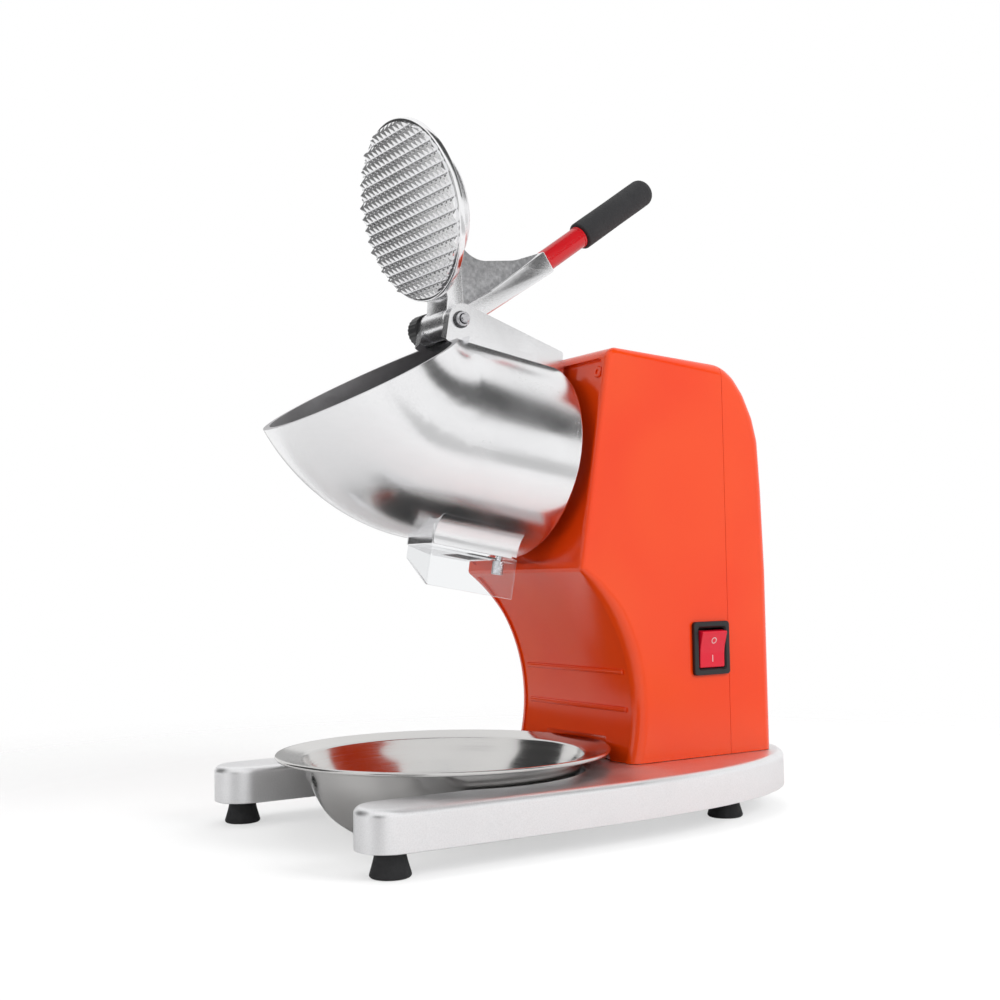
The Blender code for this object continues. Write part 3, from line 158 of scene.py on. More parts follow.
class Graph:
    """Short calls for adding and joining the nodes of one tree."""

    def __init__(self, tree: Tree) -> None:
        """Take a tree.

        Args:
            tree: the node tree to add to.
        """
        self.tree = tree

    def node(self, kind: str, inputs: Optional[dict[Any, Any]] = None, **settings: Any) -> Node:
        """Add a node.

        Args:
            kind: the node's type name without "ShaderNode".
            inputs: socket name or index, to a value or to a socket to join.
            settings: the node's own properties.

        Returns:
            The new node.
        """
        made = self.tree.nodes.new("ShaderNode" + kind)
        for name, value in settings.items():
            setattr(made, name, value)
        for name, value in (inputs or {}).items():
            self.feed(made.inputs[name], value)
        return made

    def feed(self, socket: Socket, value: Any) -> None:
        """Join a socket to another, or set its value.

        Args:
            socket: the input.
            value: the other socket, or the value.
        """
        if isinstance(value, Socket):
            self.tree.links.new(value, socket)
        else:
            socket.default_value = value

    def maths(self, operation: str, *values: Any) -> Socket:
        """A Math node's result for sockets or numbers."""
        return self.node("Math", dict(enumerate(values)), operation=operation).outputs[0]

    def times(self, first: Any, second: Any) -> Socket:
        """The product of two sockets or numbers."""
        return self.maths("MULTIPLY", first, second)

    def plus(self, first: Any, second: Any, share: float) -> Socket:
        """The first value and a share of the second."""
        return self.maths("ADD", first, self.times(second, share))

    def spread(self, value: Socket, low: float, high: float, to_low: Any, to_high: Any) -> Socket:
        """A value's range brought to another, held at its ends."""
        return self.node("MapRange", {0: value, 1: low, 2: high, 3: to_low, 4: to_high}).outputs[0]

    def blend(self, share: Any, first: Any, second: Any) -> Socket:
        """Mix two colours.

        Args:
            share: how much of the second colour is in.
            first: the first colour.
            second: the second colour.

        Returns:
            The mixed colour.
        """
        return self.node("Mix", {0: share, 6: first, 7: second}, data_type="RGBA").outputs[2]


def blank(name: str) -> tuple[Material, Graph, Node, Socket]:
    """Start a material.

    Args:
        name: its name.

    Returns:
        The material, its graph, its Principled shader and its surface input.
    """
    material = bpy.data.materials.new(name)
    material.use_nodes = True
    nodes = material.node_tree.nodes
    return material, Graph(material.node_tree), nodes["Principled BSDF"], nodes["Material Output"].inputs["Surface"]


class Effects:
    """The shader groups that the finishes share, each built once."""

    def __init__(self) -> None:
        """Build every group."""
        self.grain = self._group("grain", {"Scale": 400.0}, self._build_grain)
        self.brush = self._group("brush_lines", {"Along": 20.0, "Across": 900.0}, self._build_brush)
        self.rings = self._group("turned_rings", {"Middle Y": 0.0, "Pitch": 900.0}, self._build_rings)
        self.waves = self._group("slow_waves", {"Scale": 18.0}, self._build_waves)
        self.scuffs = self._group("scuffs", {"Scale": 60.0, "Share": 0.3}, self._build_scuffs)
        self.film = self._group("settled_film", {"Scale": 30.0, "Amount": 0.1}, self._build_film)

    @staticmethod
    def _group(name: str, inputs: dict[str, float],
               build: Callable[[Graph, Node], dict[str, Socket]]) -> Tree:
        """Make one group.

        Args:
            name: the group's name.
            inputs: its number inputs with their usual values.
            build: fills the tree and gives each output's source.

        Returns:
            The finished group.
        """
        tree = bpy.data.node_groups.new(name, "ShaderNodeTree")
        for label, value in inputs.items():
            tree.interface.new_socket(label, in_out="INPUT", socket_type="NodeSocketFloat").default_value = value
        graph = Graph(tree)
        entry = tree.nodes.new("NodeGroupInput")
        outputs = build(graph, entry)
        for label in outputs:
            tree.interface.new_socket(label, in_out="OUTPUT", socket_type="NodeSocketFloat")
        leave = tree.nodes.new("NodeGroupOutput")
        for label, source in outputs.items():
            tree.links.new(source, leave.inputs[label])
        return tree

    @staticmethod
    def _where(graph: Graph) -> Socket:
        """The point on the object, in its own metres."""
        return graph.node("TexCoord").outputs["Object"]

    def _noise(self, graph: Graph, scale: Any, detail: float, **more: float) -> Socket:
        """Noise over the object with a scale, a detail and other inputs by name."""
        inputs = {"Vector": self._where(graph), "Scale": scale, "Detail": detail, **more}
        return graph.node("TexNoise", inputs).outputs[0]

    def _build_grain(self, graph: Graph, entry: Node) -> dict[str, Socket]:
        """Fine grain: a mask from 0 to 1 and a height."""
        noise = self._noise(graph, entry.outputs["Scale"], 4.0, Roughness=0.65)
        return {"Mask": graph.spread(noise, 0.35, 0.65, 0.0, 1.0), "Height": noise}

    def _build_brush(self, graph: Graph, entry: Node) -> dict[str, Socket]:
        """Fine lines along Y from a stretched noise.

        Args:
            graph: the group's graph.
            entry: its input node.

        Returns:
            Each output's source.
        """
        scale = graph.node("CombineXYZ", {0: entry.outputs["Across"], 1: entry.outputs["Along"],
                                          2: entry.outputs["Across"]}).outputs[0]
        vector = graph.node("VectorMath", {0: self._where(graph), 1: scale}, operation="MULTIPLY").outputs[0]
        noise = graph.node("TexNoise", {"Vector": vector, "Scale": 1.0, "Detail": 3.0, "Roughness": 0.7})
        return {"Lines": noise.outputs[0]}

    def _build_rings(self, graph: Graph, entry: Node) -> dict[str, Socket]:
        """Rings left by turning, round an upright axis.

        Args:
            graph: the group's graph.
            entry: its input node.

        Returns:
            Each output's source.
        """
        split = graph.node("SeparateXYZ", {0: self._where(graph)})
        pitch, across = entry.outputs["Pitch"], split.outputs[0]
        along = graph.maths("SUBTRACT", split.outputs[1], entry.outputs["Middle Y"])
        radius = graph.maths("SQRT", graph.maths("ADD", graph.times(across, across), graph.times(along, along)))
        stretched = graph.node("CombineXYZ", {0: graph.times(radius, pitch), 1: graph.times(split.outputs[2], pitch),
                                              2: graph.maths("ARCTAN2", along, across)}).outputs[0]
        noise = graph.node("TexNoise", {"Vector": stretched, "Scale": 1.0, "Detail": 2.0})
        return {"Lines": noise.outputs[0]}

    def _build_waves(self, graph: Graph, entry: Node) -> dict[str, Socket]:
        """The slow unevenness of a polished casting or a moulded wall."""
        noise = self._noise(graph, entry.outputs["Scale"], 1.0, Distortion=0.4)
        return {"Height": noise, "Mask": graph.spread(noise, 0.3, 0.7, 0.0, 1.0)}

    def _build_scuffs(self, graph: Graph, entry: Node) -> dict[str, Socket]:
        """Thin scattered scratches.

        Args:
            graph: the group's graph.
            entry: its input node.

        Returns:
            Each output's source.
        """
        bent = graph.node("TexNoise", {"Vector": self._where(graph), "Scale": 9.0, "Detail": 2.0})
        vector = graph.node("VectorMath", {0: self._where(graph), 1: bent.outputs[1]}, operation="ADD").outputs[0]
        cells = graph.node("TexVoronoi", {"Vector": vector, "Scale": entry.outputs["Scale"]},
                           feature="DISTANCE_TO_EDGE")
        thin = graph.spread(cells.outputs[0], 0.0, 0.006, 1.0, 0.0)
        gate = graph.maths("LESS_THAN", self._noise(graph, 45.0, 2.0), entry.outputs["Share"])
        return {"Mask": graph.times(thin, gate)}

    def _build_film(self, graph: Graph, entry: Node) -> dict[str, Socket]:
        """A thin uneven film of handling and dust, more of it on what faces up.

        Args:
            graph: the group's graph.
            entry: its input node.

        Returns:
            Each output's source.
        """
        up = graph.node("SeparateXYZ", {0: graph.node("NewGeometry").outputs["Normal"]}).outputs[2]
        noise = self._noise(graph, entry.outputs["Scale"], 5.0, Roughness=0.6)
        patches = graph.spread(noise, 0.42, 0.7, 0.0, 1.0)
        weight = graph.spread(up, -0.5, 1.0, 0.4, 1.0)
        return {"Mask": graph.times(patches, graph.times(entry.outputs["Amount"], weight))}


EFFECTS = Effects()


@dataclass(frozen=True)
class Finish:
    """What every finish has: a name, the record's slot and a way to paint its material."""

    name: str
    slot: str
    colour: Point3

    @property
    def rgba(self) -> tuple[float, float, float, float]:
        """The colour with full alpha."""
        return (*self.colour, 1.0)

    def build(self) -> Material:
        """The painted material."""
        material, graph, shader, _ = blank(self.name)
        material.diffuse_color = self.rgba
        self.paint(graph, shader)
        return material

    def paint(self, graph: Graph, shader: Node) -> None:
        """Fill the material's graph; each kind of finish has its own way.

        Args:
            graph: the material's graph.
            shader: its Principled shader.
        """
        raise NotImplementedError

    @staticmethod
    def surface(graph: Graph, shader: Node, tone: Any, rough: Socket, metallic: float = 0.0) -> None:
        """Join a shader's colour and roughness.

        Args:
            graph: the material's graph.
            shader: its Principled shader.
            tone: the colour or its socket.
            rough: the roughness's socket.
            metallic: 1 for a metal.
        """
        graph.feed(shader.inputs["Base Color"], tone)
        graph.feed(shader.inputs["Roughness"], rough)
        shader.inputs["Metallic"].default_value = metallic

    @staticmethod
    def effect(graph: Graph, group: Tree, **values: float) -> dict[str, Socket]:
        """Place a shared group.

        Args:
            graph: the material's graph.
            group: the shared group.
            values: its inputs by name, with "_" for each space.

        Returns:
            The group's outputs by name.
        """
        node = graph.node("Group", {label.replace("_", " "): value for label, value in values.items()},
                          node_tree=group)
        return dict(node.outputs.items())

    @staticmethod
    def bump(graph: Graph, shader: Node, layers: Sequence[tuple[Any, float, float]]) -> None:
        """Stack bump layers on a shader.

        Args:
            graph: the material's graph.
            shader: its Principled shader.
            layers: height socket, strength and distance of each layer.
        """
        normal: Optional[Socket] = None
        for height, strength, distance in layers:
            node = graph.node("Bump", {"Height": height, "Strength": strength, "Distance": distance})
            if normal is not None:
                graph.feed(node.inputs["Normal"], normal)
            normal = node.outputs["Normal"]
        if normal is not None:
            graph.feed(shader.inputs["Normal"], normal)


@dataclass(frozen=True)
class CastMetal(Finish):
    """Polished or fettled aluminium casting."""

    shade: Point3 = (0.55, 0.55, 0.56)
    rough: Point2 = (0.16, 0.34)
    grain_scale: float = 900.0
    grain_depth: float = 0.12
    wave_scale: float = 22.0
    wave_depth: float = 0.25
    brush: float = 0.10
    film: float = 0.15
    mottle: float = 0.0
    scuffs: float = 0.10

    def paint(self, graph: Graph, shader: Node) -> None:
        """Mottled polish: slow waves, fine grain, faint brush lines and scuffs."""
        grain = self.effect(graph, EFFECTS.grain, Scale=self.grain_scale)
        waves = self.effect(graph, EFFECTS.waves, Scale=self.wave_scale)
        brush = self.effect(graph, EFFECTS.brush, Along=25.0, Across=1300.0)
        scuffs = self.effect(graph, EFFECTS.scuffs, Scale=34.0, Share=0.40)
        film = self.effect(graph, EFFECTS.film, Scale=38.0, Amount=self.film)
        tone = graph.blend(film["Mask"], self.rgba, (*self.shade, 1.0))
        for mask, share in ((scuffs["Mask"], self.scuffs), (grain["Mask"], self.mottle)):
            tone = graph.blend(graph.times(mask, share), tone, (*self.shade, 1.0))
        rough = graph.spread(waves["Mask"], 0.0, 1.0, *self.rough)
        rough = graph.plus(graph.plus(rough, grain["Mask"], 0.06), film["Mask"], 0.30)
        self.surface(graph, shader, tone, rough, 1.0)
        self.bump(graph, shader, [(waves["Height"], self.wave_depth, 0.002),
                                  (brush["Lines"], self.brush, 0.0001),
                                  (grain["Height"], self.grain_depth, 0.0002)])


@dataclass(frozen=True)
class SpunSteel(Finish):
    """Spun and polished sheet steel, with fine rings round an upright axis."""

    middle_y: float = 0.0
    rough: Point2 = (0.10, 0.22)
    ring_depth: float = 0.06

    def paint(self, graph: Graph, shader: Node) -> None:
        """Mirror-like sheet with turned rings and a little handling."""
        rings = self.effect(graph, EFFECTS.rings, Middle_Y=self.middle_y, Pitch=1600.0)
        waves = self.effect(graph, EFFECTS.waves, Scale=14.0)
        film = self.effect(graph, EFFECTS.film, Scale=26.0, Amount=0.10)
        tone = graph.blend(film["Mask"], self.rgba, (0.50, 0.50, 0.51, 1.0))
        rough = graph.spread(rings["Lines"], 0.3, 0.7, *self.rough)
        self.surface(graph, shader, tone, graph.plus(rough, film["Mask"], 0.25), 1.0)
        self.bump(graph, shader, [(waves["Height"], 0.10, 0.001),
                                  (rings["Lines"], self.ring_depth, 0.0001)])


@dataclass(frozen=True)
class PlatedSteel(Finish):
    """Zinc or nickel plated hardware, and ground blade steel."""

    rough: Point2 = (0.18, 0.36)
    dull: Point3 = (0.36, 0.36, 0.37)
    across: float = 1500.0

    def paint(self, graph: Graph, shader: Node) -> None:
        """Bright plating with cloudy patches and tool lines."""
        brush = self.effect(graph, EFFECTS.brush, Along=120.0, Across=self.across)
        grain = self.effect(graph, EFFECTS.grain, Scale=500.0)
        tone = graph.blend(graph.times(grain["Mask"], 0.25), self.rgba, (*self.dull, 1.0))
        self.surface(graph, shader, tone, graph.spread(brush["Lines"], 0.3, 0.7, *self.rough), 1.0)
        self.bump(graph, shader, [(brush["Lines"], 0.12, 0.0001)])


@dataclass(frozen=True)
class MouldedPlastic(Finish):
    """Injection-moulded plastic or paint, from glossy to fine matt."""

    deep: Point3 = (0.5, 0.05, 0.01)
    vary: float = 0.10
    rough: Point2 = (0.16, 0.24)
    peel_scale: float = 260.0
    peel_depth: float = 0.05
    wave_depth: float = 0.05
    film: float = 0.06

    def paint(self, graph: Graph, shader: Node) -> None:
        """Even colour with slight flow shades, orange peel and a thin film."""
        peel = self.effect(graph, EFFECTS.grain, Scale=self.peel_scale)
        waves = self.effect(graph, EFFECTS.waves, Scale=12.0)
        film = self.effect(graph, EFFECTS.film, Scale=34.0, Amount=self.film)
        scuffs = self.effect(graph, EFFECTS.scuffs, Scale=70.0, Share=0.40)
        tone = graph.blend(graph.times(waves["Mask"], self.vary), self.rgba, (*self.deep, 1.0))
        rough = graph.spread(waves["Mask"], 0.0, 1.0, *self.rough)
        rough = graph.plus(graph.plus(rough, film["Mask"], 0.5), scuffs["Mask"], 0.08)
        self.surface(graph, shader, tone, rough)
        shader.inputs["IOR"].default_value = 1.5
        self.bump(graph, shader, [(waves["Height"], self.wave_depth, 0.002),
                                  (peel["Height"], self.peel_depth, 0.0002)])


@dataclass(frozen=True)
class SoftRubber(Finish):
    """Rubber or foam: dark, dull and finely pored."""

    pale: Point3 = (0.05, 0.05, 0.052)
    pore_scale: float = 650.0
    pore_depth: float = 0.9

    def paint(self, graph: Graph, shader: Node) -> None:
        """Pored dull surface with paler rubbed spots."""
        pores = self.effect(graph, EFFECTS.grain, Scale=self.pore_scale)
        film = self.effect(graph, EFFECTS.film, Scale=90.0, Amount=0.45)
        tone = graph.blend(graph.times(pores["Mask"], 0.5), self.rgba, (*self.pale, 1.0))
        tone = graph.blend(film["Mask"], tone, (*self.pale, 1.0))
        self.surface(graph, shader, tone, graph.spread(pores["Mask"], 0.0, 1.0, 0.62, 0.88))
        self.bump(graph, shader, [(pores["Height"], self.pore_depth, 0.0004)])


@dataclass(frozen=True)
class ClearSheet(Finish):
    """Thin clear plastic sheet."""

    def paint(self, graph: Graph, shader: Node) -> None:
        """See-through sheet with a trace of handling in its gloss."""
        film = self.effect(graph, EFFECTS.film, Scale=60.0, Amount=0.3)
        self.surface(graph, shader, self.rgba, graph.spread(film["Mask"], 0.0, 1.0, 0.03, 0.22))
        for label, value in (("Transmission Weight", 1.0), ("IOR", 1.03), ("Coat Weight", 1.0),
                             ("Coat Roughness", 0.03)):
            shader.inputs[label].default_value = value


FINISHES: dict[str, Finish] = {
    "barrel": CastMetal("polished_casting", "cast_aluminium", (0.87, 0.87, 0.88), rough=(0.12, 0.22),
                        grain_scale=1100.0, grain_depth=0.05, wave_depth=0.14, film=0.10, mottle=0.10),
    "barrel_inside": CastMetal("rough_bore", "cast_aluminium", (0.44, 0.43, 0.44), rough=(0.34, 0.5),
                               grain_scale=260.0, grain_depth=0.5, brush=0.25, film=0.35, mottle=0.3),
    "base": CastMetal("silver_casting", "cast_aluminium", (0.90, 0.90, 0.91), shade=(0.62, 0.62, 0.63),
                      rough=(0.30, 0.42), grain_scale=1300.0, grain_depth=0.30, wave_depth=0.06, film=0.10,
                      mottle=0.25),
    "lever": CastMetal("fettled_casting", "cast_aluminium", (0.86, 0.86, 0.87), rough=(0.18, 0.28),
                       grain_scale=900.0, grain_depth=0.12, wave_depth=0.10, film=0.04, mottle=0.08, scuffs=0.03),
    "web": CastMetal("rough_cast_web", "cast_aluminium", (0.62, 0.62, 0.63), shade=(0.30, 0.30, 0.31),
                     rough=(0.34, 0.52), grain_scale=420.0, grain_depth=0.8, wave_depth=0.3, brush=0.02, film=0.3,
                     mottle=0.75),
    # painted shade: plated steel painted near-black, standing for the shade between the pivot nut and the lever's boss
    "shadow_steel": PlatedSteel("painted_shade_steel", "steel", (0.12, 0.12, 0.125), dull=(0.07, 0.07, 0.07)),
    "teeth": CastMetal("toothed_casting", "cast_aluminium", (0.90, 0.90, 0.91), rough=(0.08, 0.13),
                       grain_scale=1400.0, grain_depth=0.03, wave_depth=0.03, brush=0.02, film=0.03, scuffs=0.0),
    "bowl": SpunSteel("spun_bowl_steel", "stainless", (0.62, 0.61, 0.60), middle_y=PLACE.bowl_y + PLACE.shift_y),
    "steel": PlatedSteel("plated_steel", "steel", (0.66, 0.66, 0.68)),
    "blade": PlatedSteel("ground_blade", "blade_steel", (0.74, 0.75, 0.76), rough=(0.10, 0.22), across=2600.0),
    "iron": PlatedSteel("core_stack", "core_iron", (0.26, 0.26, 0.27), rough=(0.40, 0.60), dull=(0.16, 0.15, 0.15)),
    "copper": PlatedSteel("enamelled_copper", "copper_winding", (0.72, 0.34, 0.18), dull=(0.45, 0.18, 0.08)),
    "motor": MouldedPlastic("motor_paint", "painted_steel", (0.05, 0.05, 0.055), deep=(0.02, 0.02, 0.02),
                            rough=(0.35, 0.5)),
    "orange": MouldedPlastic("orange_moulding", "orange_plastic", (0.90, 0.070, 0.004), deep=(0.86, 0.040, 0.003),
                             vary=0.6, rough=(0.13, 0.20)),
    "red": MouldedPlastic("red_moulding", "red_plastic", (0.62, 0.008, 0.014), deep=(0.42, 0.003, 0.008),
                          rough=(0.14, 0.2)),
    "rocker": MouldedPlastic("rocker_moulding", "red_plastic", (0.74, 0.006, 0.030), deep=(0.50, 0.003, 0.02),
                             rough=(0.18, 0.24)),
    "mark": MouldedPlastic("mark_print", "red_plastic", (0.80, 0.55, 0.56), deep=(0.70, 0.45, 0.46),
                           rough=(0.4, 0.5)),
    "black": MouldedPlastic("black_moulding", "black_plastic", (0.009, 0.009, 0.010), deep=(0.005, 0.005, 0.006),
                            rough=(0.30, 0.42), peel_scale=900.0, peel_depth=0.15, film=0.2),
    "grip": SoftRubber("foam_grip", "black_rubber", (0.020, 0.020, 0.022)),
    "foot": SoftRubber("foot_rubber", "black_rubber", (0.012, 0.012, 0.013), pale=(0.03, 0.03, 0.032),
                       pore_scale=500.0, pore_depth=0.2),
    "clear": ClearSheet("clear_sheet", "clear_plastic", (0.90, 0.91, 0.92)),
}


class Palette:
    """The materials by finish, made when first asked for."""

    def __init__(self) -> None:
        """Start with none made."""
        self.made: dict[str, Material] = {}

    def __getitem__(self, key: str) -> Material:
        """The material of a finish."""
        if key not in self.made:
            self.made[key] = FINISHES[key].build()
        return self.made[key]


PALETTE = Palette()


class Workshop:
    """Turns outlines and profiles into finished meshes."""

    @staticmethod
    def arc(cx: float, cy: float, radius: float, start: float, end: float, count: int) -> list[Point2]:
        """Points of an arc with both ends.

        Args:
            cx: the middle's first coordinate.
            cy: its second.
            radius: the arc's radius.
            start: the angle of its first point, in degrees.
            end: the angle of its last.
            count: steps between them.

        Returns:
            The points.
        """
        turns = [math.radians(start + (end - start) * i / count) for i in range(count + 1)]
        return [(cx + radius * math.cos(t), cy + radius * math.sin(t)) for t in turns]

    @staticmethod
    def quarter(steps: int) -> list[Point2]:
        """A rounded edge's two offsets, in shares of its radius, from the side to the top."""
        turns = [math.pi / 2 * i / steps for i in range(steps + 1)]
        return [(1 - math.cos(t), 1 - math.sin(t)) for t in turns]

    @staticmethod
    def rounded(points: Sequence[Point2], radii: Sequence[float], count: int = 6) -> list[Point2]:
        """Round the corners of a closed outline.

        Args:
            points: its corners.
            radii: the radius at each corner, 0 to keep it sharp.
            count: steps in each rounding.

        Returns:
            The new outline.
        """
        out: list[Point2] = []
        total = len(points)
        for i, (point, radius) in enumerate(zip(points, radii)):
            corner = Vector(point)
            if radius <= 0:
                out.append(tuple(corner))
                continue
            before = (Vector(points[i - 1]) - corner).normalized()
            after = (Vector(points[(i + 1) % total]) - corner).normalized()
            half = before.angle(after) / 2
            centre = corner + (before + after).normalized() * radius / math.sin(half)
            first = corner + before * radius / math.tan(half) - centre
            last = corner + after * radius / math.tan(half) - centre
            for k in range(count + 1):
                out.append(tuple(centre + first.lerp(last, k / count).normalized() * radius))
        return out

    @staticmethod
    def flowing(points: Sequence[Point2], steps: int = 6) -> list[Point2]:
        """A smooth line through points, by Catmull-Rom.

        Args:
            points: what the line passes through.
            steps: points for each span.

        Returns:
            The line's points.
        """
        out: list[Point2] = []
        rows = [Vector(p) for p in points]
        rows = [2 * rows[0] - rows[1]] + rows + [2 * rows[-1] - rows[-2]]
        for a, b, c, d in zip(rows, rows[1:], rows[2:], rows[3:]):
            for k in range(steps):
                t = k / steps
                out.append(tuple(0.5 * (2 * b + (c - a) * t + (2 * a - 5 * b + 4 * c - d) * t * t
                                        + (3 * b - a - 3 * c + d) * t ** 3)))
        out.append(tuple(rows[-2]))
        return out

    def rectangle(self, wide: float, high: float, radius: float, shift: float = 0.0,
                  count: int = 8) -> list[Point2]:
        """A rounded rectangle.

        Args:
            wide: its first measure.
            high: its second measure.
            radius: the radius of its corners.
            shift: how far it is moved along the second axis.
            count: steps in each corner.

        Returns:
            Its outline.
        """
        x, y = wide / 2, high / 2
        corners = [(-x, -y + shift), (x, -y + shift), (x, y + shift), (-x, y + shift)]
        return self.rounded(corners, [radius] * 4, count)

    @staticmethod
    def wheel(radius: float, dip: float, every: int, count: int, first: int) -> list[Point2]:
        """A ribbed round outline.

        Args:
            radius: its radius.
            dip: how much lower its grooves are.
            every: points from groove to groove.
            count: points all round.
            first: the first groove's point.

        Returns:
            Its outline.
        """
        out = []
        for i in range(count):
            turn, reach = 2 * math.pi * i / count, radius - (dip if i % every == first else 0.0)
            out.append((reach * math.cos(turn), reach * math.sin(turn)))
        return out

    @staticmethod
    def weld(bm: bmesh.types.BMesh) -> None:
        """Join a bmesh's doubled points and turn its faces out."""
        bmesh.ops.remove_doubles(bm, verts=bm.verts, dist=WELD)
        bmesh.ops.recalc_face_normals(bm, faces=bm.faces)

    def mesh_of(self, name: str, bm: bmesh.types.BMesh, weld: bool = False) -> Mesh:
        """The mesh of a bmesh, which is freed.

        Args:
            name: the mesh's name.
            bm: the bmesh.
            weld: whether to join its doubled points and turn its faces out.

        Returns:
            The mesh.
        """
        if weld:
            self.weld(bm)
        mesh = bpy.data.meshes.new(name)
        bm.to_mesh(mesh)
        bm.free()
        return mesh

    @staticmethod
    def place(name: str, mesh: Mesh, matrix: Matrix) -> Piece:
        """Put a mesh in its place in the frame.

        Args:
            name: the object's name.
            mesh: its mesh, which is moved itself.
            matrix: its place.

        Returns:
            The new object.
        """
        mesh.transform(matrix)
        obj = bpy.data.objects.new(name, mesh)
        bpy.context.scene.collection.objects.link(obj)
        return obj

    def evaluated(self, obj: Piece) -> Mesh:
        """The mesh that an object's modifiers make, welded, with its faces out.

        Args:
            obj: the object.

        Returns:
            The new mesh.
        """
        bpy.context.view_layer.update()
        deps = bpy.context.evaluated_depsgraph_get()
        mesh = bpy.data.meshes.new_from_object(obj.evaluated_get(deps))
        bm = bmesh.new()
        bm.from_mesh(mesh)
        self.weld(bm)
        bm.to_mesh(mesh)
        bm.free()
        return mesh

    def prism(self, name: str, outlines: Sequence[Sequence[Point2]], low: float, high: float,
              matrix: Matrix) -> Piece:
        """Give outlines width.

        Args:
            name: the object's name.
            outlines: the outer outline and any holes, or several outlines.
            low: where the width starts along the outline's own Z.
            high: where it ends.
            matrix: its place.

        Returns:
            The new object.
        """
        curve = bpy.data.curves.new(name, "CURVE")
        curve.dimensions, curve.fill_mode = "2D", "BOTH"
        curve.extrude = (high - low) / 2
        for points in outlines:
            spline = curve.splines.new("POLY")
            spline.points.add(len(points) - 1)
            for slot, (x, y) in zip(spline.points, points):
                slot.co = (x, y, 0, 1)
            spline.use_cyclic_u = True
        return self._from_curve(name, curve, matrix @ moved((0, 0, (high + low) / 2)))

    def tube(self, name: str, path: Sequence[tuple[float, float, float, float]], radius: float,
             matrix: Matrix, resolution: int = 30) -> Piece:
        """A round bar along a path.

        Args:
            name: the object's name.
            path: its points, each with its share of the radius.
            radius: the bar's radius.
            matrix: its place.
            resolution: steps in a quarter round.

        Returns:
            The new object.
        """
        curve = bpy.data.curves.new(name, "CURVE")
        curve.dimensions, curve.bevel_depth = "3D", radius
        curve.bevel_resolution, curve.use_fill_caps = resolution, True
        spline = curve.splines.new("POLY")
        spline.points.add(len(path) - 1)
        for slot, (x, y, z, share) in zip(spline.points, path):
            slot.co, slot.radius = (x, y, z, 1), share
        return self._from_curve(name, curve, matrix)

    def _from_curve(self, name: str, curve: bpy.types.Curve, matrix: Matrix) -> Piece:
        """The mesh object that a curve makes.

        Args:
            name: the object's name.
            curve: the curve.
            matrix: its place.

        Returns:
            The new object.
        """
        holder = bpy.data.objects.new(name, curve)
        bpy.context.scene.collection.objects.link(holder)
        mesh = self.evaluated(holder)
        bpy.data.objects.remove(holder)
        return self.place(name, mesh, matrix)

    def turned(self, name: str, profile: Sequence[Point2], matrix: Matrix, steps: int = 64) -> Piece:
        """Turn a profile about Z.

        Args:
            name: the object's name.
            profile: radius and height, from the top down its outer side.
            matrix: its place.
            steps: faces round it.

        Returns:
            The new object.
        """
        bm = bmesh.new()
        verts = [bm.verts.new((r, 0, z)) for r, z in profile]
        pairs = list(zip(verts, verts[1:]))
        if profile[0][0] > 0:
            pairs.append((verts[-1], verts[0]))
        geometry = verts + [bm.edges.new(pair) for pair in pairs]
        bmesh.ops.spin(bm, geom=geometry, cent=(0, 0, 0), axis=(0, 0, 1), angle=2 * math.pi, steps=steps)
        return self.place(name, self.mesh_of(name, bm, True), matrix)

    def box(self, name: str, low: Sequence[float], high: Sequence[float], matrix: Matrix) -> Piece:
        """A block between two corners.

        Args:
            name: the object's name.
            low: its lowest corner.
            high: its highest.
            matrix: its place.

        Returns:
            The new object.
        """
        bm = bmesh.new()
        bmesh.ops.create_cube(bm, size=1)
        bmesh.ops.scale(bm, vec=Vector(high) - Vector(low), verts=bm.verts)
        bmesh.ops.translate(bm, vec=(Vector(high) + Vector(low)) / 2, verts=bm.verts)
        return self.place(name, self.mesh_of(name, bm), matrix)

    def rod(self, name: str, radius: float, low: float, high: float, matrix: Matrix, steps: int = 32,
            edge: float = 0.0) -> Piece:
        """A round bar along Z.

        Args:
            name: the object's name.
            radius: its radius.
            low: where it starts.
            high: where it ends.
            matrix: its place.
            steps: faces round it.
            edge: the chamfer of its ends.

        Returns:
            The new object.
        """
        profile = [(0, high), (radius - edge, high), (radius, high - edge), (radius, low + edge),
                   (radius - edge, low), (0, low)]
        return self.turned(name, profile if edge else [(0, high), (radius, high), (radius, low), (0, low)],
                           matrix, steps)

    def combine(self, target: Piece, tools: Iterable[Piece], operation: str = "DIFFERENCE") -> None:
        """Cut tools from a piece, or join them, and drop the tools.

        Args:
            target: the piece.
            tools: what is cut or joined.
            operation: the Boolean's operation.
        """
        used = list(tools)
        for tool in used:
            mod = target.modifiers.new(tool.name, "BOOLEAN")
            mod.operation, mod.object, mod.solver = operation, tool, "EXACT"
        mesh = self.evaluated(target)
        target.modifiers.clear()
        target.data = mesh
        for tool in used:
            bpy.data.objects.remove(tool)

    def one_by_one(self, target: Piece, tools: Iterable[Piece], operation: str = "DIFFERENCE") -> None:
        """Cut or join tools, each after the last.

        Args:
            target: the piece.
            tools: what is cut or joined.
            operation: the Boolean's operation.
        """
        for tool in tools:
            self.combine(target, [tool], operation)

    @staticmethod
    def bevel(obj: Piece, width: float, segments: int, angle: float) -> None:
        """Add rounding to the edges of a piece.

        Args:
            obj: the piece.
            width: the rounding's width.
            segments: steps in it.
            angle: the least angle of an edge that is rounded, in degrees.
        """
        mod = obj.modifiers.new("edges", "BEVEL")
        mod.width, mod.segments, mod.limit_method = width, segments, "ANGLE"
        mod.angle_limit, mod.use_clamp_overlap = math.radians(angle), True

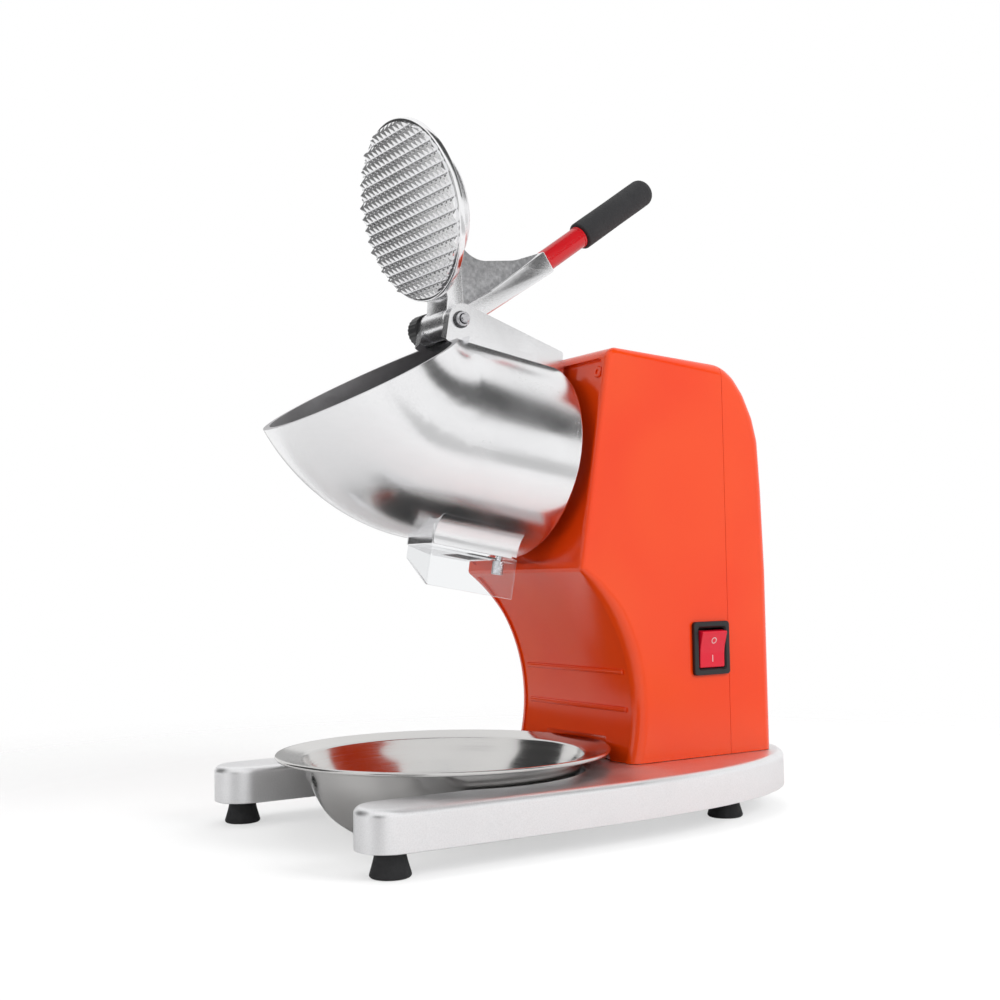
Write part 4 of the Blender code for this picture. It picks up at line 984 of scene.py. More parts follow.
    def soften(self, obj: Piece, width: float, segments: int = 2, angle: float = 32.0) -> None:
        """Round a finished piece's edges and keep its flats flat, in the terms of bevel."""
        bm = bmesh.new()
        bm.from_mesh(obj.data)
        bmesh.ops.dissolve_limit(bm, angle_limit=math.radians(0.6), verts=bm.verts, edges=bm.edges)
        bm.to_mesh(obj.data)
        bm.free()
        self.bevel(obj, width, segments, angle)
        obj.data.shade_smooth()
        self.flatten(obj)

    @staticmethod
    def flatten(obj: Piece) -> None:
        """Keep the flats of a smooth-shaded piece flat."""
        obj.modifiers.new("flats", "WEIGHTED_NORMAL").keep_sharp = True

    def round_off(self, obj: Piece, width: float, segments: int = 3, angle: float = 40.0) -> None:
        """Round a piece's edges at once, before it is joined to another, in the terms of bevel."""
        self.bevel(obj, width, segments, angle)
        mesh = self.evaluated(obj)
        obj.modifiers.clear()
        obj.data = mesh

    @staticmethod
    def inset(points: Sequence[Point2], depths: Sequence[float]) -> list[Point2]:
        """Move a closed outline inwards.

        Args:
            points: the outline, run anticlockwise.
            depths: how far each point moves.

        Returns:
            The new outline.
        """
        out: list[Point2] = []
        for i, point in enumerate(points):
            before = (Vector(point) - Vector(points[i - 1])).normalized()
            after = (Vector(points[(i + 1) % len(points)]) - Vector(point)).normalized()
            mean = (before + after).normalized()
            normal = Vector((-mean.y, mean.x))
            scale = max(0.4, abs(normal.dot(Vector((-before.y, before.x)))))
            out.append(tuple(Vector(point) + normal * depths[i] / scale))
        return out

    def stacked(self, name: str, rings: Sequence[tuple[Sequence[Point2], Any]], matrix: Matrix) -> Piece:
        """Close a form through outlines of equal count.

        Args:
            name: the object's name.
            rings: each outline with its height, or with a height for each point.
            matrix: its place.

        Returns:
            The new object.
        """
        bm = bmesh.new()
        loops = []
        for ring, height in rings:
            heights = height if isinstance(height, list) else [height] * len(ring)
            loops.append([bm.verts.new((x, y, z)) for (x, y), z in zip(ring, heights)])
        for low, high in zip(loops, loops[1:]):
            for i in range(len(low)):
                bm.faces.new((low[i - 1], low[i], high[i], high[i - 1]))
        bm.faces.new(loops[0][::-1])
        bm.faces.new(loops[-1])
        return self.place(name, self.mesh_of(name, bm, True), matrix)

    def smooth(self, obj: Piece, angle: float, flats: bool) -> None:
        """Shade a piece smooth but for its sharp edges.

        Args:
            obj: the piece.
            angle: the least angle of a sharp edge, in degrees.
            flats: whether its flats are kept flat.
        """
        obj.data.shade_smooth()
        obj.data.set_sharp_from_angle(angle=math.radians(angle))
        if flats:
            self.flatten(obj)


SHOP = Workshop()


def finished(obj: Piece, finish: str, body: Body, stands_for: Sequence[str] = (),
             smooth: Optional[float] = None, flats: bool = False) -> Piece:
    """Give a new piece its finish and its body.

    Args:
        obj: the piece.
        finish: the key of its finish.
        body: the body it rides on.
        stands_for: the nodes it takes the place of.
        smooth: the least angle of an edge that stays sharp, in degrees.
        flats: whether its flats are kept flat.

    Returns:
        The piece.
    """
    if smooth is not None:
        SHOP.smooth(obj, smooth, flats)
    obj.data.materials.clear()
    obj.data.materials.append(PALETTE[finish])
    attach(obj, body.value)
    FINISHES[finish].slot
    if stands_for:
        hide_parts(*stands_for)
    LOG.info("%s: %s, on %s", obj.name, finish, body.value)
    return obj


@dataclass
class CarriedNodes:
    """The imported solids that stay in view, with their finishes."""

    nodes: dict[str, str] = field(default_factory=lambda: {
        "base": "base_plate", "barrel": "barrel", "lever": "lever_arm", "teeth": "press_disc", "bowl": "bowl",
        "orange": "housing_", "foot": "foot_", "motor": "motor_can motor_end_cap", "iron": "armature stator_core",
        "copper": "stator_winding", "blade": "blade_1 blade_2", "red": "lever_sleeve", "grip": "lever_grip",
        "rocker": "switch_rocker", "clear": "guard",
        "black": "motor_fan pivot_cap lever_stop switch_bezel cable_gland gland_nut",
        "steel": "housing_screw foot_screw barrel_bearing barrel_screw motor_bearing motor_plate shaft disc_nut "
                 "blade_disc blade_screw press_screw pivot_bolt pivot_nut thumb_screw"})

    def finish_of(self, node: str) -> str:
        """The finish that has the longest start of a node's name."""
        starts = {start: finish for finish, names in self.nodes.items() for start in names.split()}
        return starts[max((start for start in starts if node.startswith(start)), key=len)]

    def dress(self) -> None:
        """Weld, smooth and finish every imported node."""
        for name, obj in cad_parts.items():
            finish = self.finish_of(name)
            obj.data.materials.clear()
            obj.data.materials.append(PALETTE[finish])
            for polygon in obj.data.polygons:
                polygon.material_index = 0
                polygon.use_smooth = True
            weld = obj.modifiers.new("weld", "WELD")
            weld.merge_threshold = 1e-5
            split = obj.modifiers.new("edges", "EDGE_SPLIT")
            split.split_angle = math.radians(32)
            SHOP.flatten(obj)
            LOG.info("node %s: %s", name, finish)


@dataclass
class CatchBowl:
    """The spun bowl with its rolled rim."""

    rim_r: float = 0.1000
    height: float = 0.0470
    mouth_r: float = 0.0850
    floor_r: float = 0.0460
    sheet: float = 0.0010
    rim_drop: float = 0.0035
    bead_r: float = 0.0013
    bend: Point2 = (0.0016, 0.0008)
    bend_under: Point2 = (0.0014, 0.0006)
    bead_start: Point3 = (0.0040, 0.0010, 0.0021)

    def build(self) -> Piece:
        """Turn the bowl's wall and rim as one sheet."""
        wall = [(0.0, 0.0), (0.18, 0.022), (0.35, 0.09), (0.62, 0.30), (0.85, 0.66), (0.97, 0.93), (1.0, 1.0)]
        lip = self.height - self.rim_drop
        inner_r = self.mouth_r - self.sheet
        rise = lip - self.sheet
        outer = [(self.floor_r + (self.mouth_r - self.floor_r) * u, rise * v) for u, v in wall]
        inner = [(self.floor_r + (inner_r - self.floor_r) * u, self.sheet + rise * v) for u, v in wall]
        inwards, top_drop, under_drop = self.bead_start
        top = [(inner_r + self.bend[0], lip + self.bend[1]), (self.rim_r - inwards, self.height - top_drop)]
        bead = SHOP.arc(self.rim_r - self.bead_r, self.height - self.bead_r, self.bead_r, 110, -140, 12)
        under = [(self.rim_r - inwards, self.height - under_drop),
                 (self.mouth_r + self.bend_under[0], lip - self.bend_under[1])]
        line = [(0.0, self.sheet)] + SHOP.flowing(inner, 6) + top + bead + under
        line += list(reversed(SHOP.flowing(outer, 6))) + [(0.0, 0.0)]
        bowl = SHOP.turned("catch_bowl_sheet", line, moved(PLACE.bench(0, PLACE.bowl_y, 0)), 144)
        return finished(bowl, "bowl", Body.BOWL, ["bowl"], 50)


@dataclass
class PressDisc:
    """The toothed disc that presses the ice onto the blades."""

    radius: float = 0.0550
    face: float = 0.0060
    plate: float = 0.0040
    tooth: float = 0.0032
    tip: float = 0.0007
    rim: float = 0.0022
    rows: int = 15
    columns: int = 21
    sides: int = 120
    face_edge: float = 0.0010
    back_edge: float = 0.0005
    screw_hole: float = 0.0033

    def lines(self, count: int) -> list[float]:
        """The groove lines across the pad."""
        reach = self.radius - self.rim + 0.0006
        return [-reach + 2 * reach * i / count for i in range(count + 1)]

    def _teeth(self) -> bmesh.types.BMesh:
        """A sheet of pyramids with small flat tips, trimmed to the round pad.

        Returns:
            The open sheet.
        """
        bm = bmesh.new()
        root, top, flat = self.face + 0.0003, self.face + self.tooth, self.tip / 2
        across, up = self.lines(self.columns), self.lines(self.rows)
        for x0, x1 in zip(across, across[1:]):
            for z0, z1 in zip(up, up[1:]):
                mx, mz = (x0 + x1) / 2, (z0 + z1) / 2
                low = [bm.verts.new((x, root, z)) for x, z in ((x0, z0), (x1, z0), (x1, z1), (x0, z1))]
                high = [bm.verts.new((mx + x * flat, top, mz + z * flat))
                        for x, z in ((-1, -1), (1, -1), (1, 1), (-1, 1))]
                for i in range(4):
                    bm.faces.new((low[i - 1], low[i], high[i], high[i - 1]))
                bm.faces.new(high)
        bmesh.ops.remove_doubles(bm, verts=bm.verts, dist=WELD)
        pad = self.radius - self.rim
        for i in range(self.sides):
            turn = 2 * math.pi * i / self.sides
            way = Vector((math.cos(turn), 0, math.sin(turn)))
            bmesh.ops.bisect_plane(bm, geom=bm.verts[:] + bm.edges[:] + bm.faces[:], dist=WELD, plane_co=way * pad,
                                   plane_no=way, clear_outer=True)
        return bm

    def build(self) -> Piece:
        """Carry the teeth's rim down and round the plate, close its back and bore it."""
        back, face_edge, back_edge = self.face - self.plate, self.face_edge, self.back_edge
        bm = self._teeth()
        rim = [e for e in bm.edges if e.is_boundary]
        edge = SHOP.arc(self.radius - face_edge, self.face - face_edge, face_edge, 90, 0, 5)
        low = SHOP.arc(self.radius - back_edge, back + back_edge, back_edge, 0, -90, 4)
        for radius, height in [(self.radius - self.rim, self.face)] + edge + low:
            made = bmesh.ops.extrude_edge_only(bm, edges=rim)["geom"]
            rim = [e for e in made if isinstance(e, bmesh.types.BMEdge)]
            for vert in {v for e in rim for v in e.verts}:
                size = math.hypot(vert.co.x, vert.co.z)
                vert.co = Vector((vert.co.x * radius / size, height, vert.co.z * radius / size))
        bmesh.ops.contextual_create(bm, geom=rim)
        bmesh.ops.recalc_face_normals(bm, faces=bm.faces)
        name = "toothed_press_disc"
        spot = PLACE.lever_matrix() @ moved((0, 0, -PLACE.bend_r))
        disc = SHOP.place(name, SHOP.mesh_of(name, bm), spot)
        depth = back + self.plate * 0.8
        SHOP.combine(disc, [SHOP.rod("screw_cut", self.screw_hole, back - 0.01, depth, spot @ ALONG)])
        return finished(disc, "teeth", Body.LEVER, ["press_disc"], 25)


@dataclass
class Barrel:
    """The polished elbow barrel with its scoop mouth, hinge lug, ledge, spout and neck."""

    outer: float = 0.0620
    bore: float = 0.0580
    rear: float = 0.0705
    chamber: float = 0.0645
    ring_edge: float = 0.0020
    neck: float = 0.0400
    neck_end: float = 0.0802
    mouth_slope: float = math.radians(37.5)
    lip_angle: float = math.radians(48.7)
    lug_outer: float = 0.0190
    lug_slot: float = 0.0130
    lug_front: float = -0.0082
    lug_rear: float = 0.0765
    lug_tops: Point2 = (0.0830, 0.0700)
    ledge: Point2 = (0.0235, 0.0615)
    slot_rear: float = 0.0130
    web_top: float = 0.0640
    spout: tuple[float, float, float, float] = (0.0300, -0.0045, 0.0545, 0.0660)
    flare_r: float = 0.0200
    outlet: Point3 = (0.0180, 0.0300, 0.0500)
    seat: Point2 = (0.0133, 0.0063)
    shaft_hole: float = 0.0065
    cut_end: float = 0.0835
    bend_end: float = math.radians(78)
    far_corner: Point2 = (-0.0020, 0.0280)
    far_flare: float = 0.0290
    spot: Matrix = field(default_factory=PLACE.barrel_matrix)

    def path(self, shares: Sequence[Point2]) -> list[tuple[float, float, float, float]]:
        """The barrel's axis: straight from the motor, then round the lever's pivot.

        Args:
            shares: places along the straight part, each with its share of the radius.

        Returns:
            The axis's points, each with its share of the radius.
        """
        points = [(0.0, s, 0.0, share) for s, share in shares]
        for i in range(40):
            turn = self.bend_end * i / 39
            points.append((0.0, -PLACE.bend_r * math.sin(turn), PLACE.bend_r * (1 - math.cos(turn)), 1.0))
        return points

    def _body(self) -> Piece:
        """The closed outer form with the lug, ledge and spout on it.

        Returns:
            The form.
        """
        shares = [(self.neck_end, self.neck / self.outer), (self.rear + 0.0004, self.neck / self.outer)]
        shares += [(self.rear - self.ring_edge * back, 1 - self.ring_edge * down / self.outer)
                   for back, down in SHOP.quarter(8)]
        body = SHOP.tube("elbow_barrel", self.path(shares), self.outer, self.spot, 46)
        reach = PLACE.bend_r + self.outer
        lip = moved((0, -reach * math.sin(self.lip_angle), PLACE.bend_r - reach * math.cos(self.lip_angle)))
        slope = self.spot @ lip @ Matrix.Rotation(self.mouth_slope, 4, "X")
        SHOP.combine(body, [SHOP.box("mouth_cut", (-FAR, -0.3, 0), (FAR, 0.3, 0.3), slope)])
        high, low = self.lug_tops
        lug = SHOP.rounded([(self.lug_front, self.bore - 0.002), (self.lug_rear, self.bore - 0.002),
                            (self.lug_rear, low), (self.lug_front, high)], [0, 0, 0.002, 0.0100], 10)
        ledge_x, ledge_top = self.ledge
        SHOP.one_by_one(body, (
            SHOP.prism("lug", [lug], -self.lug_outer, self.lug_outer, self.spot @ SIDE),
            SHOP.box("ledge", (-ledge_x, self.slot_rear - 0.008, self.bore - 0.004),
                     (ledge_x, self.lug_rear - 0.0012, ledge_top), self.spot),
            self._spout(), self._flare(-1), self._flare(1)), "UNION")
        return body

    def _spout(self) -> Piece:
        """The block under the barrel, its far front corner cut away.

        Returns:
            The block.
        """
        wide, front, rear, down = self.spout
        cut_x, cut_y = self.far_corner
        plan = SHOP.rounded([(-wide, cut_y), (cut_x, front), (wide, front), (wide, rear), (-wide, rear)],
                            [0.006, 0.006, 0.0015, 0.004, 0.004], 6)
        return SHOP.prism("spout", [plan], -down, -self.bore + 0.020, self.spot)

    def _flare(self, side: int) -> Piece:
        """The hollow flare from the barrel down to one side of the spout.

        Args:
            side: 1 for the near side, -1 for the far side.

        Returns:
            The flare.
        """
        wide, front, rear = self.spout[:3]
        x, reach = wide + self.flare_r, self.outer + self.flare_r
        z = -math.sqrt(reach ** 2 - x ** 2)
        first, last = 180.0, math.degrees(math.atan2(-z, -x))
        curve = SHOP.arc(x, z, self.flare_r, first, last, 12)
        outline = [(wide - 0.004, z), *curve, (curve[-1][0] - 0.006, curve[-1][1] + 0.008),
                   (wide - 0.004, curve[-1][1] + 0.008)]
        start = front + 0.0004 if side > 0 else self.far_flare
        points = [(side * px, -pz) for px, pz in outline]
        return SHOP.prism("flare", [points], start, rear - 0.0004, self.spot @ ALONG)

    def _cuts(self) -> list[Piece]:
        """What is taken out of the body: bore, lug slot, holes and outlet.

        Returns:
            The cutting forms, in their order.
        """
        front, back, far = self.web_top + 0.002, self.web_top - 0.002, self.lug_rear + 0.01
        slot = [(-0.1, self.bore - 0.012), (self.slot_rear, self.bore - 0.012), (self.slot_rear, front),
                (far, back), (far, FAR), (-0.1, FAR)]
        down = -self.spout[3] - 0.01
        wide, start, end = self.outlet
        pivot = self.spot @ moved((0, 0, PLACE.bend_r)) @ ACROSS
        thumb = self.spot @ moved((*PLACE.thumb, 0))
        seat_r, seat_deep = self.seat
        tools = [SHOP.tube("bore_cut", self.path([(self.chamber, 1.0)]), self.bore, self.spot, 46),
                 SHOP.prism("slot_cut", [slot], -self.lug_slot, self.lug_slot, self.spot @ SIDE),
                 SHOP.rod("pivot_cut", BOLT_HOLE, -0.05, 0.05, pivot),
                 SHOP.box("outlet_cut", (-wide, start, down), (wide, end, -self.bore + 0.030), self.spot),
                 SHOP.rod("thumb_cut", SCREW_HOLE, down, -self.spout[3] + 0.009, thumb),
                 SHOP.rod("seat_cut", seat_r, self.chamber - 0.01, self.chamber + seat_deep, self.spot @ ALONG, 48),
                 SHOP.rod("shaft_cut", self.shaft_hole, self.chamber, self.cut_end, self.spot @ ALONG, 40)]
        start = self.chamber - 0.01
        return tools + [SHOP.rod("fixing_cut", SCREW_HOLE, start, self.cut_end, self.spot @ place @ ALONG, 20)
                        for place in PLACE.fixings()]

    def inside(self, point: Vector) -> bool:
        """Whether a point lies on the bore.

        Args:
            point: the point in the barrel's frame.

        Returns:
            True on the bore.
        """
        if point.y > 0:
            radial = math.hypot(point.x, point.z)
        else:
            radial = math.hypot(point.x, math.hypot(point.y, point.z - PLACE.bend_r) - PLACE.bend_r)
        return radial < self.bore + 0.0002

    def build(self) -> Piece:
        """Make the barrel and give its bore the rough finish."""
        barrel = self._body()
        SHOP.one_by_one(barrel, self._cuts())
        finished(barrel, "barrel", Body.STAND, ["barrel"])
        SHOP.soften(barrel, 0.0005, 2, 40)
        barrel.data.materials.append(PALETTE["barrel_inside"])
        back = self.spot.inverted()
        for face in barrel.data.polygons:
            face.material_index = 1 if self.inside(back @ face.center) else 0
        return barrel


@dataclass
class Lever:
    """The lever casting with its cup, neck, boss, webbed arm and tang, and what is pushed on it."""

    cup_r: float = 0.0380
    cup_back: float = -0.0140
    cup_wall: float = 0.0040
    cup_front: float = 0.0017
    neck_half: float = 0.0125
    boss_r: float = 0.0088
    web_half: float = 0.0035
    rib_half: float = 0.0090
    arm_start: Point2 = (-0.0824, -0.0255)
    arm_way: Point2 = (-0.94038, -0.34014)
    arm_half: float = 0.0072
    tang_r: float = 0.0045
    sleeve: Point2 = (0.0370, 0.0074)
    grip: Point2 = (0.0700, 0.0092)
    dome: float = 0.0070
    heel_r: float = 0.0030
    lip_r: float = 0.0007
    post_r: float = 0.0065
    play: float = 0.0003

    def arm_matrix(self) -> Matrix:
        """The arm's frame at the sleeve's start, with Z out along the arm."""
        along = Matrix.Rotation(math.atan2(-self.arm_way[0], self.arm_way[1]), 4, "X")
        return PLACE.lever_matrix() @ moved((0, *self.arm_start)) @ along

    def _outlines(self) -> tuple[list[Point2], list[Point2], list[Point2]]:
        """The casting's forms, seen from the side with the lever closed.

        Returns:
            The outlines of neck, web and rib.
        """
        boss, top, back = self.boss_r, self.cup_front, self.cup_back
        cup_top = -PLACE.bend_r + self.cup_r
        neck = [(boss * 0.6, -0.0040), (top - 0.0004, -0.0150), (top - 0.0004, cup_top - 0.0010),
                (back + self.cup_wall - 0.0005, cup_top - 0.0020), (back + 0.0005, cup_top - 0.0120),
                (back + 0.0005, cup_top + 0.0020), (-boss * 0.95, -0.0060), (-boss * 0.95, 0.0010),
                (0, boss * 0.9)]
        start = Vector(self.arm_start)
        side = Vector((self.arm_way[1], -self.arm_way[0])) * self.arm_half
        under, over, heel = start + side, start - side, (-0.0220, 0.0012)
        web = SHOP.rounded([(-0.0030, 0.0070), heel, tuple(under), tuple(over), (-0.0600, -0.0305),
                            (-0.0310, -0.0345), (back - 0.0005, -0.0560), (back + 0.0020, -0.0560),
                            (-0.0060, -0.0200)], [0, 0.010, 0, 0, 0.030, 0.020, 0, 0, 0], 10)
        rib = SHOP.rounded([(-0.0032, 0.0068), (heel[0], heel[1] + 0.0001), tuple(under + side * 0.01),
                            tuple(over - side * 0.01), (-0.0600, -0.0245), (-0.0320, -0.0140),
                            (-0.0060, -0.0070)], [0, 0.010, 0, 0, 0.020, 0.020, 0], 8)
        return neck, web, rib

    def build(self) -> Piece:
        """Join the casting's forms, each with rounded edges, and bore it."""
        frame_at = PLACE.lever_matrix()
        centre = frame_at @ moved((0, 0, -PLACE.bend_r)) @ ALONG
        radius, back, wall, top = self.cup_r, self.cup_back, self.cup_wall, self.cup_front
        heel = SHOP.arc(radius - self.heel_r, back + self.heel_r, self.heel_r, 0, -90, 8)
        lip = SHOP.arc(radius - self.lip_r, top - self.lip_r, self.lip_r, 90, 0, 3)
        cup = [(0, back + wall), (radius - wall - 0.002, back + wall), (radius - wall, back + wall + 0.002),
               (radius - wall, top)] + lip + heel + [(0, back)]
        arm = SHOP.turned("lever_casting", cup, centre, 112)
        SHOP.combine(arm, [SHOP.rod("post", self.post_r, back + 0.001, top, centre, 40)], "UNION")
        for (name, half), outline in zip((("neck", self.neck_half), ("web", self.web_half), ("rib", self.rib_half)),
                                         self._outlines()):
            form = SHOP.prism(name, [outline], -half, half, frame_at @ SIDE)
            SHOP.round_off(form, 0.0012 if name == "rib" else 0.0006, 3)
            SHOP.combine(arm, [form], "UNION")
        boss = SHOP.rod("boss", self.boss_r, -self.neck_half - 0.0001, self.neck_half + 0.0001,
                        frame_at @ ACROSS, 64, 0.0006)
        tang = SHOP.rod("tang", self.tang_r, -0.006, self.sleeve[0] + self.grip[0] - 0.010, self.arm_matrix(), 40)
        SHOP.one_by_one(arm, (boss, tang), "UNION")
        SHOP.one_by_one(arm, (SHOP.rod("boss_cut", BOLT_HOLE, -0.05, 0.05, frame_at @ ACROSS, 32),
                              SHOP.rod("post_cut", PressDisc.screw_hole, back - 0.01, top + 0.01, centre, 32)))
        finished(arm, "lever", Body.LEVER, ["lever_arm"], 32)
        arm.data.materials.append(PALETTE["web"])
        turn = frame_at.inverted()
        for face in arm.data.polygons:
            spot, way = turn @ face.center, turn.to_3x3() @ face.normal
            on_web = abs(way.x) > 0.95 and abs(spot.x) < self.web_half + 0.0003
            face.material_index = 1 if on_web else 0
        self._sleeve()
        self._grip()
        return arm

    def _sleeve(self) -> None:
        """The red sleeve, with a thin lip where the foam meets it."""
        length, radius = self.sleeve
        bore = self.tang_r + self.play
        line = [(bore, length), (radius - 0.0003, length), (radius, length - 0.0003), (radius, length - 0.0016),
                (radius - 0.0003, length - 0.0019), (radius - 0.0003, 0.0030)]
        line += SHOP.arc(radius - 0.0015, 0.0015, 0.0012, 0, -90, 6) + [(bore, self.play)]
        sleeve = SHOP.turned("red_sleeve", line, self.arm_matrix(), 64)
        finished(sleeve, "red", Body.LEVER, ["lever_sleeve"], 40)

    def _grip(self) -> None:
        """The foam grip with its domed end."""
        start, (length, radius), bore = self.sleeve[0], self.grip, self.tang_r + self.play
        end = start + length
        dome = [(x * radius / self.dome, y) for x, y in SHOP.arc(0, end - self.dome, self.dome, 90, 0, 10)]
        near = SHOP.arc(radius - 0.0014, start + 0.0017, 0.0014, 0, -90, 5)
        waist = [(radius, end - 0.014), (radius - 0.0001, end - 0.035), (radius, start + 0.010)]
        line = dome + waist + near + [(bore, start + self.play), (bore, end - 0.0097), (0, end - 0.0097)]
        grip = SHOP.turned("foam_grip", line, self.arm_matrix(), 72)
        finished(grip, "grip", Body.LEVER, ["lever_grip"], 50)


@dataclass
class PivotFittings:
    """The lever's bolt head on the near side and the cap on the far side."""

    reach: float = 0.0193
    nut_r: float = 0.0052
    nut_len: float = 0.0036
    cap_r: float = 0.0100
    cap_len: float = 0.0095

    def build(self) -> None:
        """Turn the washer, the nut round the bolt's end, and the fluted cap."""
        spot = PLACE.barrel_matrix() @ moved((0, 0, PLACE.bend_r)) @ ACROSS
        reach, bore = self.reach, BOLT_HOLE
        washer = SHOP.turned("pivot_washer", [
            (0.0034, reach + 0.0009), (self.nut_r - 0.0003, reach + 0.0009), (self.nut_r, reach + 0.0006),
            (self.nut_r, reach), (0.0034, reach)], spot, 64)
        # the washer takes the steel painted near-black as painted shade for the crevice it sits in
        finished(washer, "shadow_steel", Body.STAND, (), 40)
        top = reach + self.nut_len
        nut = SHOP.turned("pivot_round_nut", [
            (bore, top - 0.0003), (bore + 0.0003, top), (0.0040, top), (0.0044, top - 0.0004),
            (0.0044, reach + 0.0010), (bore, reach + 0.0010)], spot, 64)
        finished(nut, "steel", Body.STAND, ["pivot_nut"], 40)
        flutes = SHOP.wheel(self.cap_r, 0.0004, 3, 72, 0)
        cap = SHOP.prism("pivot_knob", [flutes], -reach - self.cap_len, -reach, spot)
        SHOP.combine(cap, [SHOP.rod("knob_cut", bore, -reach - 0.0043, -reach + 0.01, spot)])
        SHOP.soften(cap, 0.0009, 3, 50)
        finished(cap, "black", Body.STAND, ["pivot_cap"])


@dataclass
class ThumbScrew:
    """The knurled screw that clamps the guard's flange."""

    stem_r: float = 0.0020
    head_r: float = 0.0036
    head_len: float = 0.0078
    under: float = -0.0686
    end: float = -0.0580
    ridges: int = 28

    def build(self) -> None:
        """Draw the ridged head, and the stem up into the spout."""
        spot = PLACE.barrel_matrix() @ moved((*PLACE.thumb, 0))
        outline = SHOP.wheel(self.head_r, 0.00025, 2, 2 * self.ridges, 1)
        head = SHOP.prism("thumb_screw_head", [outline], self.under - self.head_len, self.under, spot)
        SHOP.soften(head, 0.0003, 2, 60)
        finished(head, "steel", Body.STAND, ["thumb_screw"])
        stem = SHOP.turned("thumb_screw_stem", [(0, self.end), (self.stem_r - 0.0004, self.end),
                                                (self.stem_r, self.end - 0.0004), (self.stem_r, self.under - 0.0005),
                                                (0, self.under - 0.0005)], spot, 32)
        finished(stem, "steel", Body.STAND, (), 35)


@dataclass
class Feet:
    """Four flared rubber feet with a collar under the base."""

    top_r: float = 0.0085
    low_r: float = 0.0108
    top: float = 0.0133
    head: float = 0.0045
    recess: float = 0.0070
    edge: float = 0.0014

    def build(self) -> None:
        """Turn one foot at each of the base's foot nodes."""
        for end, spot in PLACE.foot_places().items():
            line = [(SCREW_HOLE, self.top), (self.top_r - 0.0004, self.top), (self.top_r, self.top - 0.0004),
                    (self.top_r + 0.0001, self.top - 0.0014), (self.top_r - 0.0004, self.top - 0.0018),
                    (self.top_r + 0.0004, 0.0080)]
            line += SHOP.arc(self.low_r - self.edge, self.edge, self.edge, 10, -90, 6)
            line += [(self.head, 0.0), (self.head, self.recess), (SCREW_HOLE, self.recess)]
            foot = SHOP.turned(f"rubber_foot_{end}", line, spot, 64)
            finished(foot, "foot", Body.STAND, [f"foot_{end}"], 35)


@dataclass
class BaseCasting:
    """The U-shaped base: two arms round the bowl and a full rear, hollow underneath."""

    half: float = 0.1148
    rear: float = 0.3240
    widest: float = 0.1100
    power: float = 2.6
    under: float = 0.0136
    top: float = 0.0356
    wall: float = 0.0050
    skin: float = 0.0060
    edge: float = 0.0040
    arm_inner: float = 0.0778
    setback: float = 0.0018
    cut_r: float = 0.0840
    sunk: float = 0.006
    post_r: float = 0.0115
    boss_r: float = 0.0070
    lower_edge: tuple[Point2, ...] = ((0.0008, 0.0), (0.0002, 0.0003), (0.0, 0.0009))

    def outline(self, shrink: float = 0.0) -> list[Point2]:
        """The plan, or the same moved inwards.

        Args:
            shrink: how far it moves.

        Returns:
            The plan, run anticlockwise.
        """
        tip_half = (self.half - self.setback - self.arm_inner) / 2
        arm_x, tip = self.arm_inner + tip_half, tip_half - shrink
        cut_r, side, back = self.cut_r + shrink, self.half - shrink, self.rear - self.widest - shrink
        right = [(arm_x + x, y) for x, y in SHOP.arc(0, 0, tip, 180, 360, 24)]
        for i in range(1, 12):
            share = i / 12
            right.append((arm_x + tip + (side - arm_x - tip) * share ** 0.6, self.widest * share))
        for i in range(41):
            turn = math.pi / 2 * i / 40
            right.append((side * math.cos(turn) ** (2 / self.power),
                          self.widest + back * math.sin(turn) ** (2 / self.power)))
        right[-1] = (0.0, self.widest + back)
        mouth = math.degrees(math.acos(min(1.0, (arm_x - tip) / cut_r)))
        notch = [(x, PLACE.bowl_y + y) for x, y in SHOP.arc(0, 0, cut_r, 180 + mouth, 0 - mouth, 72)]
        return right + [(-x, y) for x, y in reversed(right[:-1])] + notch

    def build(self) -> Piece:
        """Stack the plan's rings, hollow the underside and drill it."""
        rings = [(self.outline(inwards), self.under + up) for inwards, up in self.lower_edge]
        rings += [(self.outline(self.edge * inwards), self.top - self.edge * down)
                  for inwards, down in SHOP.quarter(8)]
        spot = PLACE.bench_matrix()
        base = SHOP.stacked("cast_base", rings, spot)
        pocket = SHOP.prism("pocket", [self.outline(self.wall)], self.under - 0.01, self.top - self.skin, spot)
        holes, posts = [], []
        low, high, sunk = self.under - 0.01, self.top + 0.01, self.under + self.sunk
        for at in PLACE.foot_places().values():
            posts.append(SHOP.rod("post", self.post_r, self.under - 0.02, high, at, 40))
            holes.append(SHOP.rod("hole", SCREW_HOLE, 0, self.top - self.skin, at, 24))
        for x, y in PLACE.post_places():
            at = spot @ moved((x, y, 0))
            posts.append(SHOP.rod("boss", self.boss_r, self.under - 0.02, high, at, 32))
            holes.append(SHOP.turned("fixing", [(0, high), (SCREW_HOLE, high), (SCREW_HOLE, sunk), (HEAD_HOLE, sunk),
                                                (HEAD_HOLE, low), (0, low)], at, 24))
        SHOP.one_by_one(pocket, posts)
        SHOP.one_by_one(base, [pocket] + holes)
        return finished(base, "base", Body.STAND, ["base_plate"], 30, True)


